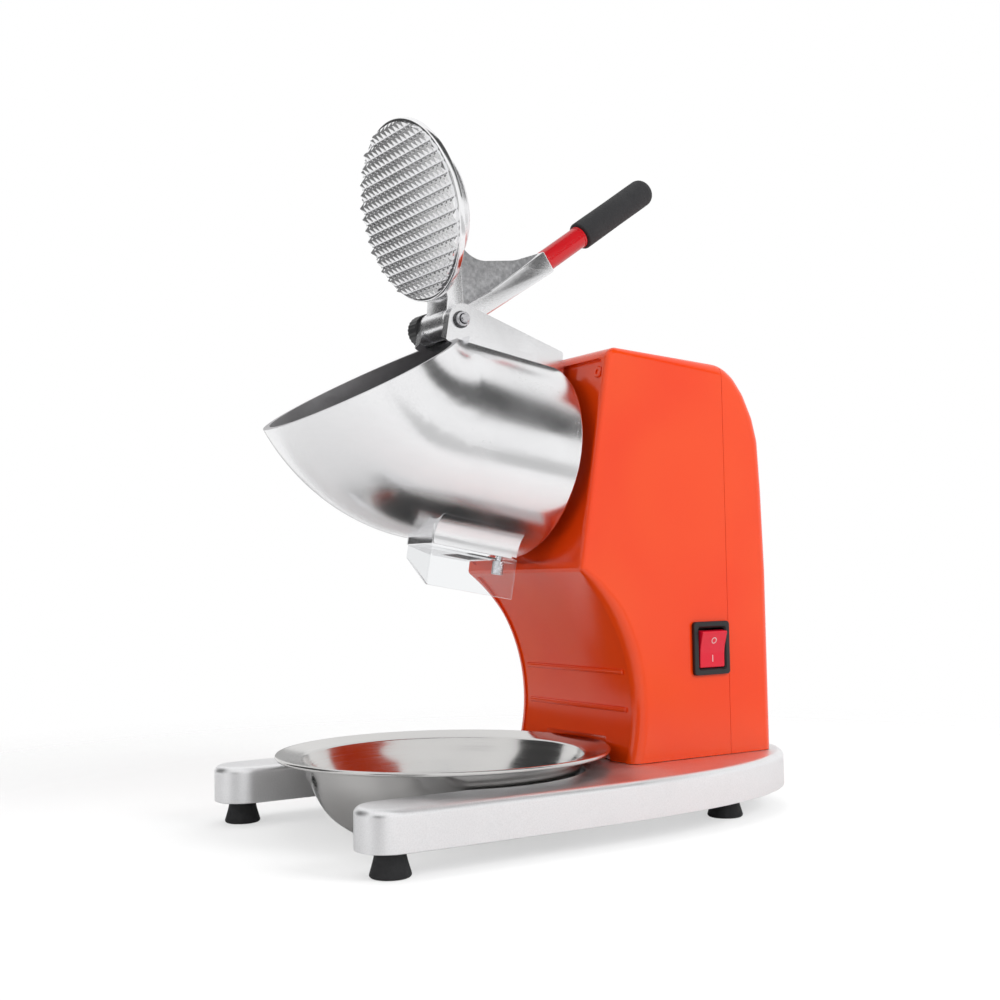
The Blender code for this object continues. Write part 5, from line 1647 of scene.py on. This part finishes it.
@dataclass
class Housing:
    """The moulded housing: front shell with its recess and ribs, and rear cover with its vents."""

    half: float = PLACE.half
    top: float = 0.2870
    rear: float = 0.2965
    low: float = 0.0136
    bottom: float = 0.0359
    wall: float = 0.0030
    front: float = 0.0775
    edges: Point3 = (0.0080, 0.0030, 0.0300)
    bend: tuple[Point2, ...] = ((0.0, 0.1370), (0.0017, 0.0850), (0.0036, 0.0530), (0.0078, 0.0375),
                                (0.0154, 0.0223), (0.0239, 0.0118), (0.0344, 0.0048))
    rounds: Point3 = (0.0240, 0.0090, 0.0035)
    curve: Point3 = (0.0811, 0.0690, 0.1054)
    hollow: Point3 = (0.0012, 0.0075, 0.0070)
    recess: tuple[float, float, float, float] = (0.0610, -0.0640, 0.0610, 0.0060)
    recess_back: float = 0.0805
    inner: float = 0.0835
    seam: float = 0.2595
    seam_half: float = 0.00015
    ribs: tuple[float, float, float, float] = (0.0670, 0.0900, 0.0017, 0.0520)
    bowl_r: float = 0.1025
    bowl_top: float = 0.0495
    post: Point2 = (0.0055, 0.018)
    post_hole: float = 0.014
    post_rib: Point3 = (0.0015, 0.0003, 0.0177)
    corner: float = 0.0535
    corner_boss: Point2 = (0.0036, 0.0030)
    corner_hole: float = 0.0016
    shaft_hole: float = 0.0090
    switch_hole: Point2 = (0.0246, 0.0286)
    vents: tuple[int, float, float, float, float] = (7, 0.1500, 0.0100, 0.0300, 0.0040)
    gland: Point2 = (0.0600, 0.0063)

    def lean_point(self, height: float) -> Point2:
        """A point of the leaning front.

        Args:
            height: its height above the barrel's axis, along the front.

        Returns:
            Its Y and Z.
        """
        y, z = PLACE.barrel_middle()
        cos, sin = math.cos(PLACE.tilt), math.sin(PLACE.tilt)
        return y + self.front * cos + height * sin, z - self.front * sin + height * cos

    def chin(self) -> Point2:
        """Where the leaning front meets the hollowed lower front.

        Returns:
            The Y and Z of the corner.
        """
        y0, z0 = self.lean_point(0)
        cy, cz, radius = self.curve
        dy, dz = y0 - cy, z0 - cz
        lean = dy * math.sin(PLACE.tilt) + dz * math.cos(PLACE.tilt)
        spread = math.sqrt(lean * lean - (dy * dy + dz * dz - radius ** 2))
        return self.lean_point(min(-lean + spread, -lean - spread, key=abs))

    def outline(self) -> list[Point2]:
        """The housing seen from the side.

        Returns:
            The outline, run anticlockwise.
        """
        cy, cz, radius = self.curve
        chin = self.chin()
        start = math.degrees(math.asin((self.low - cz) / radius))
        end = math.degrees(math.atan2(chin[1] - cz, chin[0] - cy))
        curve = SHOP.arc(cy, cz, radius, end, start, 48)[1:]
        z0 = self.lean_point(0)[1]
        bend = [(self.rear - out, self.top - drop) for out, drop in self.bend]
        crown = self.lean_point((self.top - z0) / math.cos(PLACE.tilt))
        corners = [curve[-1], (self.rear, self.low)] + bend + [crown, chin] + curve[:-1]
        rear_r, top_r, chin_r = self.rounds
        radii = [0.0, 0.0] + [rear_r] * len(bend) + [top_r, chin_r] + [0.0] * (len(curve) - 1)
        return SHOP.rounded(corners, radii, 8)

    def edge_width(self, y: float, z: float) -> float:
        """How far the side edges are rounded: little along the leaning front, more elsewhere.

        Args:
            y: a point's Y.
            z: its Z.

        Returns:
            The rounding's radius there.
        """
        y0, z0 = self.lean_point(0)
        away = (y - y0) * math.cos(PLACE.tilt) - (z - z0) * math.sin(PLACE.tilt)
        wide, slim, taper = self.edges
        return slim + (wide - slim) * min(1.0, max(0.0, away) / taper)

    def closed(self, name: str, outline: Sequence[Point2], half: float, less: float) -> Piece:
        """Give the outline width, with rounded side edges.

        Args:
            name: the object's name.
            outline: the outline from the side.
            half: half the width.
            less: how much smaller the rounding is than the housing's own.

        Returns:
            The closed form.
        """
        widths = [max(0.0, self.edge_width(*point) - less) for point in outline]
        rings = [(SHOP.inset(outline, [width * inwards for width in widths]), [half - width * out for width in widths])
                 for inwards, out in SHOP.quarter(8)]
        lower = [(ring, [-height for height in heights]) for ring, heights in reversed(rings)]
        return SHOP.stacked(name, lower + rings, PLACE.bench_matrix() @ SIDE)

    def _front_cuts(self, shell: Piece) -> None:
        """Work the front shell's recess, hollow, bowl relief, ribs, bosses and holes.

        Args:
            shell: the front shell.
        """
        bench, axis = PLACE.bench_matrix(), PLACE.barrel_matrix()
        half, low, high, radius = self.recess
        face = SHOP.rectangle(2 * half, high - low, radius, -(low + high) / 2)
        cy, cz, curve_r = self.curve
        deep, edge, below = self.hollow
        chin = self.chin()
        start = math.degrees(math.atan2(chin[1] - below - cz, chin[0] - cy))
        band = SHOP.arc(cy, cz, curve_r + deep, start, -40, 40) + SHOP.arc(cy, cz, curve_r - 0.03, -40, start, 6)
        hollow = SHOP.prism("hollow_cut", [band], -self.half + edge, self.half - edge, bench @ SIDE)
        bowl = SHOP.rod("bowl_cut", self.bowl_r, 0, self.bowl_top, bench @ moved((0, PLACE.bowl_y, 0)), 144)
        SHOP.one_by_one(shell, (SHOP.prism("recess_cut", [face], self.front - 0.05, self.recess_back, axis @ ALONG),
                                hollow, bowl))
        first, second, rib_r, rib_half = self.ribs
        for z in (first, second):
            y = cy + math.sqrt((curve_r + deep) ** 2 - (z - cz) ** 2)
            rib = SHOP.rod("rib", rib_r, -rib_half, rib_half, bench @ moved((0, y, z)) @ ACROSS, 24, 0.0008)
            SHOP.combine(shell, [rib], "UNION")
        for side in (-1, 1):
            at = axis @ moved((side * self.corner, self.recess_back - 0.0012, self.corner)) @ ALONG
            SHOP.combine(shell, [SHOP.rod("corner_boss", self.corner_boss[0], 0.0, self.corner_boss[1], at, 32,
                                          0.0005)], "UNION")
            SHOP.combine(shell, [SHOP.rod("boss_hole", self.corner_hole, -0.01, 0.0008, at, 24)])
        tools = [SHOP.rod("shaft_cut", self.shaft_hole, 0, FAR, axis @ ALONG, 40)]
        tools += [SHOP.rod("neck_cut", SCREW_HOLE, 0, FAR, axis @ place @ ALONG, 20) for place in PLACE.fixings()]
        switch = bench @ moved((0, PLACE.switch_y, PLACE.switch_z)) @ SIDE
        tools.append(SHOP.prism("switch_cut", [SHOP.rectangle(*self.switch_hole, 0.0015)], 0.03, 0.09, switch))
        SHOP.one_by_one(shell, tools)

    def _rear_cuts(self, cover: Piece) -> None:
        """Cut the rear cover's vent slots and its gland hole.

        Args:
            cover: the rear cover.
        """
        bench = PLACE.bench_matrix()
        count, low, pitch, half, high = self.vents
        slots = [SHOP.rectangle(2 * half, high, high / 2 - 0.0001, low + pitch * i + high / 2, 6)
                 for i in range(count)]
        back = bench @ moved((0, self.rear, 0)) @ Matrix.Rotation(math.pi / 2, 4, "X")
        SHOP.combine(cover, [SHOP.prism("vent_cut", slots, -0.02, 0.02, back)])
        gland_z, gland_r = self.gland
        hole = SHOP.rod("gland_cut", gland_r, -0.02, 0.02, bench @ moved((0, self.rear, gland_z)) @ ALONG, 40)
        SHOP.combine(cover, [hole])

    def _posts(self, shells: dict[str, Piece]) -> None:
        """Join the screw posts inside the shells, each with its rib to the wall.

        Args:
            shells: the front and the rear shell.
        """
        bench = PLACE.bench_matrix()
        (radius, tall), (rib_half, rib_low, rib_high) = self.post, self.post_rib
        for x, y in PLACE.post_places():
            shell = shells["front"] if y < self.seam else shells["rear"]
            at = bench @ moved((x, y, 0))
            reach = sorted((x, math.copysign(self.half - 0.001, x)))
            SHOP.one_by_one(shell, (SHOP.rod("post", radius, self.bottom, self.bottom + tall, at, 32),
                                    SHOP.box("post_rib", (reach[0], y - rib_half, self.bottom + rib_low),
                                             (reach[1], y + rib_half, self.bottom + rib_high), bench)), "UNION")
            SHOP.combine(shell, [SHOP.rod("post_cut", SCREW_HOLE, 0, self.bottom + self.post_hole, at, 24)])

    def build(self) -> None:
        """Make both shells hollow, part them at the seam and work on each."""
        bench, axis = PLACE.bench_matrix(), PLACE.barrel_matrix()
        outline = self.outline()
        half, low, high, radius = self.recess
        face = SHOP.rectangle(2 * (half + self.wall) + 0.02, high - low + 2 * self.wall, radius + self.wall,
                              -(low + high) / 2)
        cavity = self.closed("cavity", SHOP.inset(outline, [self.wall] * len(outline)), self.half - self.wall,
                             self.wall)
        SHOP.combine(cavity, [SHOP.prism("face_keep", [face], self.front - 0.05, self.inner, axis @ ALONG)])
        SHOP.combine(cavity, [SHOP.rod("bowl_keep", self.bowl_r + self.wall, 0, self.bowl_top + self.wall,
                                       bench @ moved((0, PLACE.bowl_y, 0)), 144)])
        shells: dict[str, Piece] = {}
        front_end, rear_start = self.seam - self.seam_half, self.seam + self.seam_half
        for name, first, last in (("front", front_end, 0.6), ("rear", -FAR, rear_start)):
            shell = self.closed(f"housing_{name}_shell", outline, self.half, 0.0)
            inner = cavity.copy()
            inner.data = cavity.data.copy()
            bpy.context.scene.collection.objects.link(inner)
            SHOP.one_by_one(shell, (inner, SHOP.box("below", (-FAR, -0.1, -FAR), (FAR, 0.5, self.bottom), bench),
                                    SHOP.box("part", (-FAR, first, -0.1), (FAR, last, 0.5), bench)))
            shells[name] = shell
        bpy.data.objects.remove(cavity)
        self._posts(shells)
        self._front_cuts(shells["front"])
        self._rear_cuts(shells["rear"])
        for name, shell in shells.items():
            finished(shell, "orange", Body.STAND, [f"housing_{name}"], 30, True)


@dataclass
class Switch:
    """The rocker switch: bezel, rocker and the marks printed on it."""

    seat: float = PLACE.half + 0.0003
    wide: float = 0.0290
    high: float = 0.0330
    proud: float = 0.0022
    corner: float = 0.0022
    edge: float = 0.0007
    body: Point2 = (0.0240, 0.0280)
    room: Point2 = (0.0210, 0.0252)
    rocker_wide: float = 0.0200
    rocker_half: float = 0.0114
    face: float = 0.0060
    dish: float = 0.0016
    mark_z: float = 0.0056
    ring: Point2 = (0.0015, 0.0020)
    bar: Point2 = (0.0042, 0.0006)
    print_top: float = 0.00008
    slope: tuple[tuple[float, float, float, float], ...] = ((0.0212, 0.0254, 0.0010, -0.0010),
                                                            (0.0236, 0.0278, 0.0016, 0.0005))

    def bezel(self) -> None:
        """The frame with its sloped inner edge, and the body behind it."""
        spot = PLACE.bench_matrix() @ moved((0, PLACE.switch_y, PLACE.switch_z)) @ SIDE
        face = self.seat + self.proud
        rings = [(SHOP.rectangle(self.wide, self.high, self.corner), self.seat)]
        for inwards, down in SHOP.quarter(4):
            step = 2 * self.edge * inwards
            rings.append((SHOP.rectangle(self.wide - step, self.high - step, self.corner - step / 2),
                          face - self.edge * down))
        bezel = SHOP.stacked("switch_frame", rings, spot)
        body = SHOP.prism("switch_back", [SHOP.rectangle(*self.body, 0.0015)], PLACE.half - 0.0200,
                          self.seat + 0.0005, spot)
        SHOP.combine(bezel, [body], "UNION")
        slope = [(SHOP.rectangle(wide, high, corner), face + up) for wide, high, corner, up in self.slope]
        pocket = SHOP.prism("switch_room", [SHOP.rectangle(*self.room, 0.0010)], PLACE.half - 0.0100, 0.09, spot)
        SHOP.one_by_one(bezel, (SHOP.stacked("switch_slope", slope, spot), pocket))
        finished(bezel, "black", Body.STAND, ["switch_bezel"], 32, True)

    def rocker(self) -> None:
        """The two-way rocker with its dished face."""
        high, proud = self.rocker_half, self.face
        outline = SHOP.rounded([(-0.0035, -0.0050), (0.0010, -high), (proud, -high), (proud - self.dish, 0),
                                (proud, high), (0.0010, high), (-0.0035, 0.0050)],
                               [0.001, 0.001, 0.0009, 0.03, 0.0009, 0.001, 0.001], 8)
        spot = PLACE.rocker_matrix() @ Matrix.Rotation(math.pi / 2, 4, "X")
        rocker = SHOP.prism("rocker_button", [outline], -self.rocker_wide / 2, self.rocker_wide / 2, spot)
        SHOP.soften(rocker, 0.0006, 3, 60)
        finished(rocker, "rocker", Body.ROCKER, ["switch_rocker"])

    def marks(self) -> None:
        """Lay a ring and a bar on the two halves of the rocker."""
        lean = math.atan2(self.dish, self.rocker_half)
        (inner, outer), top, low = self.ring, self.print_top, -0.0001
        for name, side in (("mark_off", 1), ("mark_on", -1)):
            height = side * self.mark_z
            out = self.face - self.dish * (1 - self.mark_z / self.rocker_half) + 0.00006
            spot = PLACE.rocker_matrix() @ moved((out, 0, height))
            spot = spot @ Matrix.Rotation(side * lean, 4, "Y") @ ACROSS
            if side > 0:
                mark = SHOP.turned(name, [(inner, top), (outer, top), (outer, low), (inner, low)], spot, 40)
            else:
                mark = SHOP.prism(name, [SHOP.rectangle(*self.bar, 0.0002)], low, top, spot)
            finished(mark, "mark", Body.ROCKER)

    def build(self) -> None:
        """Make the bezel, the rocker and its marks."""
        self.bezel()
        self.rocker()
        self.marks()


@dataclass(frozen=True)
class Lamp:
    """A soft square light: its place, its side and its power in watts."""

    name: str
    where: Point3
    size: float
    power: float


@dataclass(frozen=True)
class Card:
    """A one-sided card: its place, measures, how bright it looks, and what it faces if not the middle."""

    name: str
    where: Point3
    wide: float
    high: float
    shade: float
    faces: Optional[Point3] = None


@dataclass
class Studio:
    """Camera, floor, light and the white surroundings."""

    azimuth: float = math.radians(57.13)
    pitch: float = math.radians(3.23)
    roll: float = math.radians(-1.01)
    lens: float = 48.56
    stand: Point3 = (0.70421, -0.32312, 0.14942)
    middle: Point3 = (0.0, 0.0, 0.20)
    floor_r: float = 4.0
    fade: Point2 = (0.22, 0.72)
    floor_tones: tuple[float, float] = (0.96, 0.93)
    lamps: tuple[Lamp, ...] = (
        Lamp("key", (1.05, 0.45, 0.75), size=0.6, power=9.0),
        Lamp("top", (-0.1, 0.0, 1.4), size=1.0, power=3.0),
        Lamp("fill", (0.3, -1.3, 0.35), size=0.9, power=3.4))
    cards: tuple[Card, ...] = (
        Card("flag_over", (0.40, 0.30, 0.90), wide=0.36, high=1.3, shade=0.07, faces=(0.05, -0.05, 0.23)),
        Card("flag_low", (0.0, -0.05, 0.052), wide=0.13, high=0.15, shade=0.04, faces=(0.0, -0.05, 1.0)),
        Card("card_side", (0.90, 0.42, 0.003), wide=0.80, high=0.90, shade=0.60, faces=(0.90, 0.42, 1.0)),
        Card("flag_front", (0.70, -1.25, 0.30), wide=0.9, high=0.9, shade=0.14),
        Card("flag_back", (-0.85, 0.45, 0.16), wide=0.9, high=0.30, shade=0.45),
        Card("flag_left", (-0.85, -0.95, 0.55), wide=1.2, high=1.1, shade=0.06))

    def camera(self) -> None:
        """Put the camera where the photograph was taken from."""
        az, pitch, roll = self.azimuth, self.pitch, self.roll
        ahead = Vector((-math.sin(az) * math.cos(pitch), math.cos(az) * math.cos(pitch), math.sin(pitch)))
        level = Vector((math.cos(az), math.sin(az), 0))
        above = level.cross(ahead)
        right = level * math.cos(roll) + above * math.sin(roll)
        up = above * math.cos(roll) - level * math.sin(roll)
        data = bpy.data.cameras.new("photo_camera")
        data.sensor_width, data.lens, data.clip_start = 36.0, self.lens, 0.01
        camera = bpy.data.objects.new("photo_camera", data)
        bpy.context.scene.collection.objects.link(camera)
        turn = Matrix((right, up, -ahead)).transposed().to_4x4()
        camera.matrix_world = moved(PLACE.bench(*self.stand)) @ turn
        bpy.context.scene.camera = camera

    def light(self, lamp: Lamp) -> None:
        """Hang a lamp that looks at the object and isn't reflected by it.

        Args:
            lamp: its measures.
        """
        data = bpy.data.lights.new(lamp.name, "AREA")
        data.shape, data.size, data.energy = "SQUARE", lamp.size, lamp.power
        hung = bpy.data.objects.new(lamp.name, data)
        bpy.context.scene.collection.objects.link(hung)
        aim = Vector(self.middle) - Vector(lamp.where)
        hung.matrix_world = moved(lamp.where) @ aim.to_track_quat("-Z", "Y").to_matrix().to_4x4()
        hung.visible_glossy = False

    def shield(self, card: Card) -> None:
        """Stand a card out of the camera's sight, where only glossy surfaces reflect it.

        Args:
            card: its measures.
        """
        bm = bmesh.new()
        bmesh.ops.create_grid(bm, x_segments=1, y_segments=1, size=0.5)
        bmesh.ops.scale(bm, vec=(card.wide, card.high, 1), verts=bm.verts)
        aim = Vector(card.faces or self.middle) - Vector(card.where)
        turn = aim.to_track_quat("Z", "Y").to_matrix().to_4x4()
        stood = SHOP.place(card.name, SHOP.mesh_of(card.name, bm), moved(card.where) @ turn)
        material, graph, _, surface = blank(card.name)
        glow = graph.node("Emission", {"Color": (card.shade, card.shade, card.shade, 1.0), "Strength": 1.0})
        sides = graph.node("MixShader", {0: graph.node("NewGeometry").outputs["Backfacing"], 1: glow.outputs[0],
                                         2: graph.node("BsdfTransparent").outputs[0]})
        graph.feed(surface, sides.outputs[0])
        stood.data.materials.append(material)
        stood.visible_camera = stood.visible_diffuse = stood.visible_shadow = stood.visible_transmission = False

    def floor(self) -> None:
        """A pale floor that keeps the object's shadow and fades into the white."""
        bm = bmesh.new()
        bmesh.ops.create_circle(bm, cap_ends=True, segments=96, radius=self.floor_r)
        floor = SHOP.place("floor", SHOP.mesh_of("floor", bm), moved((0, 0, -0.0002)))
        material, graph, shader, surface = blank("pale_floor")
        noise = graph.node("TexNoise", {"Scale": 60.0, "Detail": 3.0})
        patches = graph.spread(noise.outputs[0], 0.3, 0.7, 0.0, 0.3)
        pale, dull = ((tone, tone, tone, 1) for tone in self.floor_tones)
        graph.feed(shader.inputs["Base Color"], graph.blend(patches, pale, dull))
        shader.inputs["Roughness"].default_value = 0.9
        where = graph.node("TexCoord").outputs["Object"]
        reach = graph.node("VectorMath", {0: where}, operation="LENGTH").outputs["Value"]
        seen = graph.node("LightPath").outputs["Is Camera Ray"]
        fade = graph.maths("MAXIMUM", graph.spread(reach, *self.fade, 0.0, 1.0), graph.times(seen, 0.35))
        glow = graph.node("Emission", {"Strength": graph.times(seen, 0.30)})
        lit = graph.node("AddShader", {0: shader.outputs[0], 1: glow.outputs[0]})
        mix = graph.node("MixShader", {0: fade, 1: lit.outputs[0], 2: graph.node("BsdfTransparent").outputs[0]})
        graph.feed(surface, mix.outputs[0])
        floor.data.materials.append(material)

    def world(self, level: float = 0.45) -> None:
        """Even light, and plain white wherever the camera, metal or clear sheet look past the object.

        Args:
            level: the strength of the even light.
        """
        world = bpy.data.worlds.new("white_room")
        bpy.context.scene.world = world
        world.use_nodes = True
        graph = Graph(world.node_tree)
        path = graph.node("LightPath")
        seen = graph.maths("MAXIMUM", path.outputs["Is Camera Ray"], path.outputs["Is Glossy Ray"])
        seen = graph.maths("MAXIMUM", seen, path.outputs["Is Transmission Ray"])
        strength = graph.spread(seen, 0.0, 1.0, level, 1.0)
        back = world.node_tree.nodes["Background"]
        back.inputs["Color"].default_value = (1, 1, 1, 1)
        graph.feed(back.inputs["Strength"], strength)

    def build(self) -> None:
        """Set the whole studio."""
        self.camera()
        self.floor()
        self.world()
        for lamp in self.lamps:
            self.light(lamp)
        for card in self.cards:
            self.shield(card)
        bpy.context.scene.view_settings.view_transform = "Standard"


def main() -> None:
    """Dress the solids, add the fine pieces and set the studio."""
    logging.basicConfig(level=logging.INFO, format="%(message)s")
    CarriedNodes().dress()
    for assembly in (BaseCasting(), CatchBowl(), Feet(), Barrel(), Lever(), PressDisc(), PivotFittings(),
                     ThumbScrew(), Housing(), Switch()):
        assembly.build()
    Studio().build()
    bpy.context.view_layer.update()


if __name__ == "__main__":
    main()
